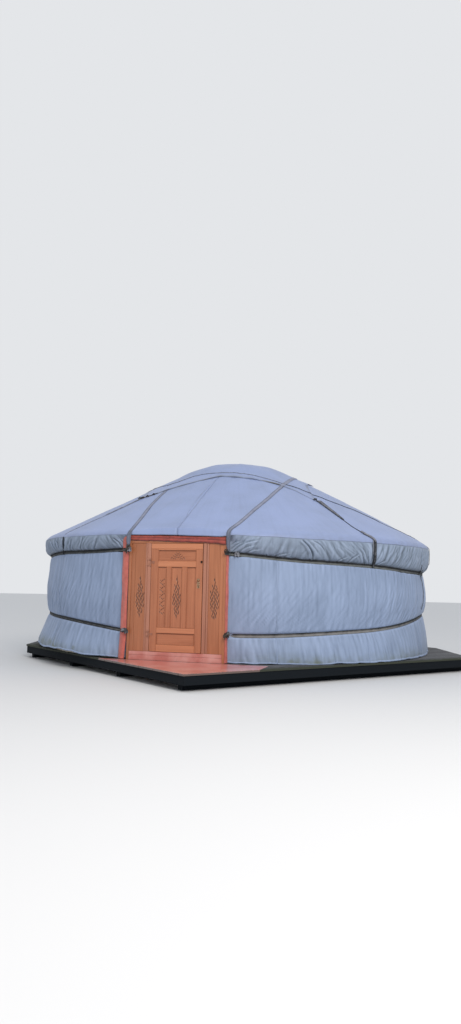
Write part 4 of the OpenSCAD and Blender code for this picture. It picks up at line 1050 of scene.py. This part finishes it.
def head_roll():
    """The cloth over the door, rolled along its lower edge, creased lengthwise and sagging to the right."""
    x = np.linspace(-0.738, 0.748, 190)
    low = np.interp(x, (-0.74, -0.69, 0.05, 0.42, 0.6, 0.748), (1.775, 1.768, 1.748, 1.737, 1.727, 1.712))
    high = np.interp(x, (-0.74, 0.0, 0.75), (1.85, 1.842, 1.824))
    turns = np.linspace(0, 1, 26)[:, None]
    over = np.minimum(1, turns / 0.8)
    under = np.maximum(0, turns - 0.8) / 0.2
    # A flap above, and a thick roll below it
    roll = 0.024 * unit(np.sin(unit((over - 0.35) / 0.65) * np.pi)) ** 0.7
    flap = 0.01 * np.sin(unit(over / 0.4) * np.pi)
    out = 0.008 + flap + roll * (0.8 + 0.2 * bumps(x / 0.2, 0, 104))
    wave = 0.004 * bumps(x / 0.11, 0, 103) + 0.003 * bumps(x / 0.045, 0, 105)
    z = high + (low + np.maximum(wave, -0.001) - high) * over + 0.02 * under
    shift = 0.005 * folds(x / 0.3 + 3 * turns, turns * 3.5, 101) + 0.0035 * folds(x / 0.07, turns * 2.2, 102)
    y = FRAME_Y - out * (1 - 0.85 * under) - np.maximum(shift, -0.003) * (1 - under)
    # Painted shade in the hollows of its creases, on the lower side of the roll and in the crease between
    # flap and roll
    crease = unit(hollows(shift.T, 2).T) + unit(hollows(shift, 3))
    crease = crease + 0.9 * unit((turns - 0.58) / 0.25) ** 1.2 + 0.8 * bell(over, 0.42, 0.05)
    points = np.stack(np.broadcast_arrays(x, y, z + BASE), -1)
    cloth = sheet("head_cloth", points, SHADED_HEAD_COTTON, ["head_trim"], "red_cloth", 0.003, crease=unit(crease))


def side_cloth(side, edge_x, foot_x):
    """A strip of cloth down the door frame, with a fold along it; the left one turns out at its foot."""
    z = np.linspace(HEAD_TOP - 0.004, FLOOR_Z + 0.006, 110)[:, None]
    left = side == "left"
    sign = -1 if left else 1
    share = np.linspace(0, 1, 17)
    low = unit((0.5 - z) / 0.5)
    inner = sign * (0.757 + 0.022 * left * low ** 1.6)
    outer = edge_x + (foot_x - edge_x) * low ** 1.2 + 0.006 * bumps(z / 0.25, 0, 111)
    x = inner + (outer - inner) * share
    fold = 0.01 * np.sin(share * math.pi * 2 - 0.4) * (0.5 + 0.5 * bumps(z / 0.5, 0, 112)) \
        + 0.006 * folds(share * 3, z / 0.4, 113) + 0.03 * low ** 1.5 * np.sin(share * math.pi) * left
    y = FRAME_Y - 0.012 - np.maximum(fold, -0.008) + 0.04 * share ** 2
    points = np.stack(np.broadcast_arrays(x, y, z + BASE), -1)
    # Painted shade in the hollows of the fold
    cloth = sheet("side_cloth_" + side, points[:, ::sign], RED_COTTON, ["side_trims"] if left else [],
                  "red_cloth", 0.003, crease=unit(hollows(fold[:, ::sign], 2)))


# Timber


def drawn_in(outline, d):
    """The corners of a convex outline, drawn in by d on every side."""
    before = outline - np.roll(outline, 1, axis=0)
    left_b, left_a = (directions(way)[:, ::-1] * (-1, 1) for way in (before, np.roll(before, -1, axis=0)))
    return outline + d * (left_b + left_a) / (1 + (left_b * left_a).sum(1))[:, None]


def clipped(outline, normal, offset):
    """The part of a convex outline where normal . p <= offset."""
    kept = []
    for a, b in zip(outline, outline[1:] + outline[:1]):
        da, db = (p[0] * normal[0] + p[1] * normal[1] - offset for p in (a, b))
        if da <= 0:
            kept.append(a)
        if da * db < 0:
            t = da / (da - db)
            kept.append((a[0] + (b[0] - a[0]) * t, a[1] + (b[1] - a[1]) * t))
    tidy = [p for k, p in enumerate(kept) if math.dist(p, kept[k - 1]) > 0.004]
    return tidy if len(tidy) > 2 else []


class Timber:
    """Boards gathered in one mesh, each with its own grain and tone; unless told otherwise they are seen
    from the front of the door."""

    def __init__(self, seed, origin=(0, FRAME_Y, BASE), right=(1, 0, 0), up=(0, 0, 1)):
        self.origin, self.right, self.up = (np.array(v, float) for v in (origin, right, up))
        self.out = np.cross(self.right, self.up)
        self.draw = np.random.RandomState(seed)
        self.verts, self.faces = [], []
        self.marks = {"grain": [], "tone": [], "cut": [], "moss": []}

    def board(self, outline, back, front, along=(1, 0), ease=0.003, tone=None, moss=None, side_moss=0.0,
              cut=0.0):
        """A board with this outline; its show face is at front, with its edges eased."""
        outline = np.asarray(outline, float)
        n, start = len(outline), len(self.verts)
        offset = self.draw.uniform(0, 40, 3)
        shade = self.draw.uniform(0, 0.35) if tone is None else tone
        rings = ((outline, back, 1.0), (outline, front - ease, 0.7), (drawn_in(outline, ease), front, 0.0))
        for ring, depth, dirty in rings:
            for p in ring:
                point = self.origin + self.right * p[0] + self.up * p[1] + self.out * depth
                self.verts.append(point)
                values = (offset + (p @ along, p[1] * along[0] - p[0] * along[1], depth), shade, cut,
                          (moss(point) if moss else 0.0) + dirty * side_moss)
                for mark, value in zip(self.marks.values(), values):
                    mark.append(value)
        self.faces += [tuple(start + np.roll(f[::-1], 1)) for f in grid_faces(3, n, True)]
        self.faces += [tuple(range(start + 2 * n, start + 3 * n)), tuple(range(start + n - 1, start - 1, -1))]

    def box(self, x0, x1, y0, y1, back, front, upright=True, **options):
        x0, x1 = sorted((x0, x1))
        outline = [(x0, y0), (x1, y0), (x1, y1), (x0, y1)]
        self.board(outline, back, front, (0, 1) if upright else (1, 0), **options)

    def piece(self, name, material, nodes, slot="door_wood", body="root"):
        shown(name, self.verts, self.faces, material, nodes, slot, body, smooth=False, **self.marks)


# Deck

DECK_FRONT = (0.65, -4.84)
DECK_SIDE = 6.9
DECK_TURN = math.radians(51.5)
CHAMFER_U, CHAMFER_V = 1.2, 1.7
BOARD_T, BOARD_W, BOARD_GAP = 0.028, 0.12, 0.006
# The paint ends behind the frame's front and a little right of the door
PORCH_Y, PORCH_X = -3.382, 1.4


def deck_boards():
    """Boards along the front right side of the deck; the corner before the door is painted."""
    u_way = (math.cos(DECK_TURN), math.sin(DECK_TURN))
    v_way = (-u_way[1], u_way[0])
    origin = (*DECK_FRONT, BASE + FLOOR_Z - BOARD_T)
    grey, painted = (Timber(seed, origin, (*u_way, 0), (*v_way, 0)) for seed in (121, 122))

    def damp(point):
        """1 at the deck's front edges, fading over 0.25 m inwards."""
        rel = (point[0] - DECK_FRONT[0], point[1] - DECK_FRONT[1])
        return max(0.0, 1 - min(rel[0] * way[0] + rel[1] * way[1] for way in (u_way, v_way)) / 0.25)

    # The deck's cut corners, each as a way out of it and how far it reaches that way
    cut_u, cut_v = 1 / CHAMFER_U, 1 / CHAMFER_V
    chamfers = (((cut_u, -cut_v), DECK_SIDE * cut_u - 1), ((cut_u, cut_v), DECK_SIDE * (cut_u + cut_v) - 1),
                ((-cut_u, cut_v), DECK_SIDE * cut_v - 1))
    porch, porch_end = (u_way[1], v_way[1]), PORCH_Y - DECK_FRONT[1]
    right, right_end = (u_way[0], v_way[0]), PORCH_X - DECK_FRONT[0]
    for k in range(math.ceil(DECK_SIDE / (BOARD_W + BOARD_GAP))):
        v0 = k * (BOARD_W + BOARD_GAP)
        v1 = min(v0 + BOARD_W, DECK_SIDE)
        overhang = grey.draw.uniform(0, 0.006)
        strip = [(-overhang, v0), (DECK_SIDE, v0), (DECK_SIDE, v1), (-overhang, v1)]
        for normal, offset in chamfers:
            strip = clipped(strip, normal, offset)
        before = clipped(strip, porch, porch_end - 0.001)
        # Grey behind the painted corner and to its right
        for part, wood, share in ((clipped(strip, (-porch[0], -porch[1]), -porch_end - 0.001), grey, 1.0),
                                  (clipped(before, (-right[0], -right[1]), -right_end), grey, 1.0),
                                  (clipped(before, right, right_end), painted, 0.35)):
            if part:
                wood.board(part, 0.0, BOARD_T, ease=0.004, moss=lambda p: share * damp(p),
                           side_moss=0.8 if wood is painted else 1.0)
    grey.piece("deck_boards", DECK_TIMBER, ["deck_floor"], "deck_boards")
    painted.piece("porch_boards", PORCH_ENAMEL, ["porch_floor"], "porch_paint")


# Carving: shallow V cuts in a dense grid, dark at their bottoms

CARVING_CELL, CARVING_DEPTH = 0.003, 0.0055


def chips(cells, x, z):
    """Depth from 0 to 1 at points x, z of lens-shaped cuts (x, z, length, width, lean in degrees)."""
    depth = np.zeros(x.shape)
    for cx, cz, length, width, lean in cells:
        c, s = math.cos(math.radians(lean)), math.sin(math.radians(lean))
        across, along = (x - cx) * c - (z - cz) * s, 2 * ((x - cx) * s + (z - cz) * c) / length
        reach = np.maximum(1 - along ** 2, 1e-6)
        depth = np.maximum(depth, (np.abs(along) < 1) * unit(1 - np.abs(across) / (width / 2 * reach)))
    return depth


def diamond_net(middle, low, high, half):
    """Cells of a tall pointed diamond, plaited from slender chips that lean in turn."""
    cells = []
    centre, reach = low + 0.45 * (high - low), 0.5 * (high - low)
    rows = 13
    for k in range(rows):
        z = low + (high - low) * (k + 0.5) / rows
        room = half * max(0.0, 1 - abs(z - centre) / (1.08 * reach)) ** 0.75
        count = 1 + 2 * int(room / 0.024)
        for j in range(count):
            x = middle + (j - (count - 1) / 2) * 0.0265 + (0.005 if k % 2 else -0.005)
            cells.append((x, z, 0.06, 0.0155, 15 if (j + k) % 2 else -15))
    return cells + [(middle, high - 0.01, 0.075, 0.011, 0), (middle, low + 0.01, 0.07, 0.011, 0)]


def scroll_row(middle, low, high):
    """Cells of a stem that swings to and fro, with a leaf at each turn."""
    cells = []
    for k in range(10):
        z = low + (high - low) * (k + 0.5) / 10
        side = 1 if k % 2 else -1
        cells += [(middle, z, 0.066, 0.012, side * 46),
                  (middle + side * 0.034, z + 0.02, 0.034, 0.011, side * 12),
                  (middle - side * 0.03, z + 0.006, 0.026, 0.01, -side * 50)]
    return cells


def crest(middle, low):
    """Cells of a low crest: three tiers of curls over each other, like a cloud."""
    tiers = ((0.016, 0.096, 0.036, 62), (0.04, 0.078, 0.034, 48), (0.02, 0.066, 0.03, -50),
             (0.062, 0.052, 0.036, 56), (0.036, 0.04, 0.03, -52), (0.014, 0.03, 0.03, 54),
             (0.09, 0.03, 0.038, 64), (0.066, 0.014, 0.034, -60), (0.04, 0.012, 0.028, 66),
             (0.104, 0.014, 0.024, -30))
    curls = [(middle + side * x, low + z, length, 0.0105, side * lean)
             for side in (-1, 1) for x, z, length, lean in tiers]
    return [(middle, low + 0.06, 0.03, 0.01, 0)] + curls


def grid_lines(low, high, fine_low, fine_high):
    """Grid lines of a board: one cell apart where it is carved, and close at its eased edges."""
    wide = np.linspace(low + 0.006, high - 0.006, 10)
    wide = wide[(wide < fine_low - CARVING_CELL) | (wide > fine_high + CARVING_CELL)]
    inner = np.sort(np.concatenate([wide, np.arange(fine_low, fine_high, CARVING_CELL)]))
    return np.concatenate([[low, low + 0.001, low + 0.003], inner, [high - 0.003, high - 0.001, high]])


def carved_board(name, cells, box, field, front, material, body, upright=True):
    """The face of a board with its carving cut in; field is the carving's own box."""
    x, z = np.meshgrid(grid_lines(*box[:2], *field[:2]), grid_lines(*box[2:], *field[2:])[::-1])
    cut = chips(cells, x, z)
    edge = np.minimum.reduce([x - box[0], box[1] - x, z - box[2], box[3] - z])
    eased = 0.003 * unit(1 - edge / 0.003) ** 2
    points = np.stack([x, FRAME_Y - front + CARVING_DEPTH * cut ** 0.8 + eased, z + BASE], -1)
    grain = np.stack([z, x, 0 * x] if upright else [x, z, 0 * x], -1) + 3.7 * (1 + len(name))
    shown(name, points, grid_faces(*x.shape), material, [], "door_wood", body, grain=grain,
          tone=np.full(x.shape, 0.24), cut=unit(cut * 2.6))


# Door

HALF_LEAF = 0.4
LEAF_LOW, LEAF_TOP, LEAF_T = 0.151, 1.73, 0.046
SILL_TOP, HEAD_LOW = 0.146, 1.735
JAMB_IN, JAMB_OUT, FRAME_HALF, POST_W = 0.405, 0.49, 0.755, 0.04
PANEL_BACK = 0.014
# Each panel of the leaf: left, right, bottom, top
LEAF_PANELS = ((-0.29, 0.29, 0.25, 0.42), (-0.295, -0.155, 0.497, 1.385), (-0.085, 0.085, 0.497, 1.385),
               (0.158, 0.3, 0.497, 1.385), (-0.295, 0.295, 1.47, 1.63))
SLIP_W = 0.013


def door_leaf():
    """Stiles, rails and muntins with sunk panels between, each with a small moulding."""
    wood = Timber(131)
    left, right = -HALF_LEAF, HALF_LEAF - 0.004
    low, *mid, high = LEAF_PANELS
    for x0, x1 in ((left, -0.2925), (0.2975, right)):
        wood.box(x0, x1, LEAF_LOW, 1.648, -LEAF_T, 0)
    # The top rail is drawn paler: a painted reflection of the sky on its gloss
    wood.box(left, right, 1.6495, LEAF_TOP, -LEAF_T, 0, upright=False, tone=-0.25)
    for z0, z1 in ((LEAF_LOW, low[2]), (low[3], mid[0][2]), (mid[0][3], high[2]), (high[3], 1.648)):
        wood.box(-0.2915, 0.2965, z0, z1, -LEAF_T, -0.0008, upright=False, tone=-0.15)
    for one, other in zip(mid, mid[1:]):
        wood.box(one[1], other[0], one[2] + 0.001, one[3] - 0.001, -LEAF_T, -0.0012)
    carved = {1: scroll_row(-0.222, 0.68, 1.208), 2: diamond_net(0.008, 0.653, 1.218, 0.064),
              4: crest(0.008, 1.492)}
    for k, (x0, x1, z0, z1) in enumerate(LEAF_PANELS):
        upright = k in (1, 2, 3)
        box = (x0 - 0.006, x1 + 0.006, z0 - 0.006, z1 + 0.006)
        if k in carved:
            field = (x0 + 0.012, x1 - 0.012, 0.64, 1.225) if upright else (-0.13, 0.146, 1.48, 1.612)
            wood.box(*box, -LEAF_T + PANEL_BACK, -PANEL_BACK - 0.008, upright=upright, ease=0.001)
            carved_board(f"leaf_panel_{k}", carved[k], box, field, -PANEL_BACK, LEAF_PINE, "door", upright)
        else:
            wood.box(*box, -LEAF_T + PANEL_BACK, -PANEL_BACK, upright=upright, ease=0.001, tone=0.22)
        # The moulding: four slips round the panel with mitred ends, each a little dark as painted shade, the
        # top one most, as the painted shadow under the rail
        outer, inner = ([(x0 + m, z0 + m), (x1 - m, z0 + m), (x1 - m, z1 - m), (x0 + m, z1 - m)]
                        for m in (0, SLIP_W))
        for j, cut in enumerate((0.08, 0.08, 0.6, 0.12)):
            i = (j + 1) % 4
            wood.board([outer[j], outer[i], inner[i], inner[j]], -PANEL_BACK - 0.002, -0.006,
                       (0, 1) if j % 2 else (1, 0), ease=0.0035, tone=0.3, cut=cut)
    wood.piece("door_leaf_joinery", LEAF_PINE, ["door_leaf"], body="door")
    catch = Timber(136)
    catch.box(0.368, 0.3945, 1.446, 1.478, 0.0, 0.01)
    catch.piece("leaf_catch", IRON, [], "hinge_steel", "door")


def turned(name, centre, profile, material, count=32):
    """A turned piece of the lock: profile holds its radius and how far it stands out."""
    turn = np.arange(count) * 2 * math.pi / count
    x, z = centre
    points = [np.stack([x + r * np.cos(turn), FRAME_Y - out + 0 * turn, z + BASE + r * np.sin(turn)], -1)
              for r, out in profile]
    faces = [*grid_faces(len(profile), count, True), range((len(profile) - 1) * count, len(profile) * count)]
    shown(name, points, faces, material, [], "lock_brass", "door")


def lock():
    """A brass plate with a turned knob, a keyhole and two screws."""
    plate = Timber(137)
    plate.box(0.3155, 0.3605, 1.08, 1.22, 0.0, 0.004, ease=0.0015)
    plate.piece("lock_plate", BRASS, ["door_lock"], "lock_brass", "door")
    turned("lock_knob", (0.338, 1.188), (
        (0.0115, 0.003), (0.0105, 0.007), (0.008, 0.01), (0.008, 0.021), (0.0125, 0.0245), (0.015, 0.029),
        (0.015, 0.033), (0.012, 0.0365), (0.006, 0.0378)), BRASS)
    turned("lock_keyhole", (0.338, 1.1), ((0.0075, 0.0035), (0.0075, 0.005), (0.0055, 0.0052)), IRON)
    screw = ((0.0042, 0.0035), (0.0036, 0.005), (0.0016, 0.0056))
    for z in (1.088, 1.212):
        turned(f"lock_screw_{round(z * 1000)}", (0.338, z), screw, BRASS, 16)


def door_frame():
    """Posts, lintel and sill, and the narrow boards beside the leaf."""
    wood, jambs, sill = Timber(132), Timber(133), Timber(134)
    depth, inner = -0.118, FRAME_HALF - POST_W
    for side in (-1, 1):
        wood.box(side * FRAME_HALF, side * inner, FLOOR_Z, HEAD_TOP, depth, 0.0)
        # The last boards are the stops behind the leaf's edges, drawn dark as painted shade in the gap round
        # the leaf
        for x0, x1, low, front, options in (
                (JAMB_IN, JAMB_IN + 0.052, 0.001, 0.0, {"ease": 0.004}),
                (JAMB_IN + 0.054, JAMB_OUT, 0.001, -0.004, {"ease": 0.005}),
                (JAMB_IN - 0.022, JAMB_IN - 0.0005, 0.0, -LEAF_T - 0.006, {"tone": 1.0, "cut": 0.85})):
            jambs.box(side * x0, side * x1, SILL_TOP + low, HEAD_LOW, depth, front, **options)
    wood.box(-inner, inner, HEAD_LOW, HEAD_TOP, depth, 0.0, upright=False)
    wood.box(-FRAME_HALF, FRAME_HALF, HEAD_TOP + 0.001, 1.9, depth + 0.03, -0.04, upright=False)
    wood.piece("door_frame_boards", PANEL_PINE, ["door_frame"])
    jambs.piece("door_jambs", JAMB_PINE, [])
    for low, top, front in ((FLOOR_Z, 0.092, 0.0), (0.0935, SILL_TOP, -0.002)):
        sill.box(0.001 - inner, inner - 0.001, low, top, depth, front, upright=False, moss=lambda p: 0.3)
    sill.piece("door_sill", SILL_ENAMEL, [], "porch_paint")


def side_panels():
    """In each side panel a narrow board beside the post and a wide carved one beside the door."""
    low, top = SILL_TOP + 0.001, HEAD_LOW - 0.001
    for side, label, joint, middle, half in (
            (-1, "left", 0.654, 0.567, 0.066), (1, "right", 0.661, 0.584, 0.074)):
        wood = Timber(135 + side)
        post = side * (FRAME_HALF - POST_W - 0.0005)
        wood.box(side * (joint + 0.0008), post, low, top, -0.034, -0.012, ease=0.0025)
        a, b = sorted((side * (JAMB_OUT + 0.0005), side * (joint - 0.0008)))
        wood.box(a, b, low, top, -0.034, -0.02, ease=0.0025)
        net = diamond_net(side * middle, 0.655, 1.222, half)
        field = (a + 0.004, b - 0.004, 0.63, 1.245)
        carved_board("side_carving_" + label, net, (a, b, low, top), field, -0.012, PANEL_PINE, "root")
        wood.piece("side_boards_" + label, PANEL_PINE, ["side_panel_" + label])


# CAD nodes that stay: how their names start, the finish, and the width of eased edges where they show
STAY = (
    # The deck's parts take the near-black timber, painted shade
    ("deck_", SHADOWED_TIMBER, 0.004), ("crown", LATTICE_PINE, 0.004),
    ("leaf_hinges", HINGE_PAINT, 0.0012), ("frame_hinges", HINGE_PAINT, 0.0012),
    ("lattice", LATTICE_PINE, 0), ("roof_poles", LATTICE_PINE, 0),
    ("felt_wall", FELT, 0), ("roof_felt", FELT, 0))


def finish_nodes():
    """Materials for the solids that stay, and eased edges where they show."""
    for name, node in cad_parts.items():
        finish = [row[1:] for row in STAY if name.startswith(row[0])]
        if node.hide_render or not finish:
            continue
        material, ease = finish[0]
        node.data.materials.clear()
        node.data.materials.append(material)
        if ease:
            node.modifiers.new("joined", "WELD").merge_threshold = 0.0001
            eased = node.modifiers.new("eased", "BEVEL")
            eased.width = ease
            eased.segments = 2
            eased.limit_method = "ANGLE"
            eased.angle_limit = math.radians(35)


# Stage, light and camera


def stage():
    bpy.ops.mesh.primitive_circle_add(vertices=96, radius=90, fill_type="NGON")
    ground = bpy.context.object
    ground.name = "studio_floor"
    ground.data.materials.append(new_material("plain_floor", Roughness=0.9, Base_Color=linear("#d9dadb"))[0])
    world = bpy.data.worlds.new("studio_sky")
    bpy.context.scene.world = world
    world.use_nodes = True
    tree = world.node_tree
    light = add(tree, tree.nodes["Background"], {"Color": linear("#eef1f6"), "Strength": 0.84})
    seen = add(tree, "Background", {"Color": linear("#e4e6e9"), "Strength": 1})
    path = add(tree, "LightPath").node.outputs
    both = add(tree, "Math", (path["Is Camera Ray"], path["Is Glossy Ray"]), operation="MAXIMUM")
    mixed = add(tree, "MixShader", (both, light, seen))
    tree.links.new(mixed, tree.nodes["World Output"].inputs["Surface"])


def lamp(name, place, target, size, power, colour):
    data = bpy.data.lights.new(name, "AREA")
    data.size = size
    data.energy = power
    data.color = linear(colour)[:3]
    light = bpy.data.objects.new(name, data)
    bpy.context.scene.collection.objects.link(light)
    light.location = place
    way = Vector(target) - Vector(place)
    light.rotation_euler = way.to_track_quat("-Z", "Y").to_euler()


def camera():
    """The photograph's viewpoint, worked out from the tent's eave, door and deck."""
    data = bpy.data.cameras.new("camera")
    data.lens = 27.04
    data.sensor_width = 36
    data.clip_end = 300
    view = bpy.data.objects.new("camera", data)
    bpy.context.scene.collection.objects.link(view)
    right, up, back = (0.96373, 0.26605, 0.02087), (0.00618, -0.10043, 0.99493), (0.26743, -0.9586, -0.09777)
    turn = Matrix((right, up, back)).transposed()
    view.matrix_world = Matrix.Translation((3.7725, -14.0363, 1.3077)) @ turn.to_4x4()
    bpy.context.scene.camera = view


camera()
stage()
lamp("soft_key", (7.0, -13.5, 9.0), (0, 0, 1.2), 5.0, 1150, "#fff9f2")
bpy.context.scene.view_settings.view_transform = "Standard"

canvas_wall("right", CLOTH_START, 179.98)
canvas_wall("left", 180.02, CLOTH_END)
valance("right", CLOTH_START, 179.98)
valance("left", 180.02, CLOTH_END)
roof_cover("right", -0.02, 180.0)
roof_cover("left", 180.0, 360.02)
roof_seam()
crown_cover()
belt("upper_belt", UPPER_BELT, UPPER_R + 0.001, UPPER_DARK, BELT_WEBBING, 0.07, 0.008, 0.6)
belt("lower_belt", LOWER_BELT, LOWER_R + 0.001, LOWER_DARK, LOWER_WEBBING, 0.066, 0.002, 0.9)
roof_strap("left", STRAP_LEFT, DOWN_LEFT, ["roof_straps"])
roof_strap("right", STRAP_RIGHT, DOWN_RIGHT, [])
corner_ropes()
belt_knots()
crown_ropes()
head_roll()
side_cloth("left", -0.868, -0.9)
side_cloth("right", 0.786, 0.79)
deck_boards()
door_leaf()
door_frame()
side_panels()
lock()
finish_nodes()
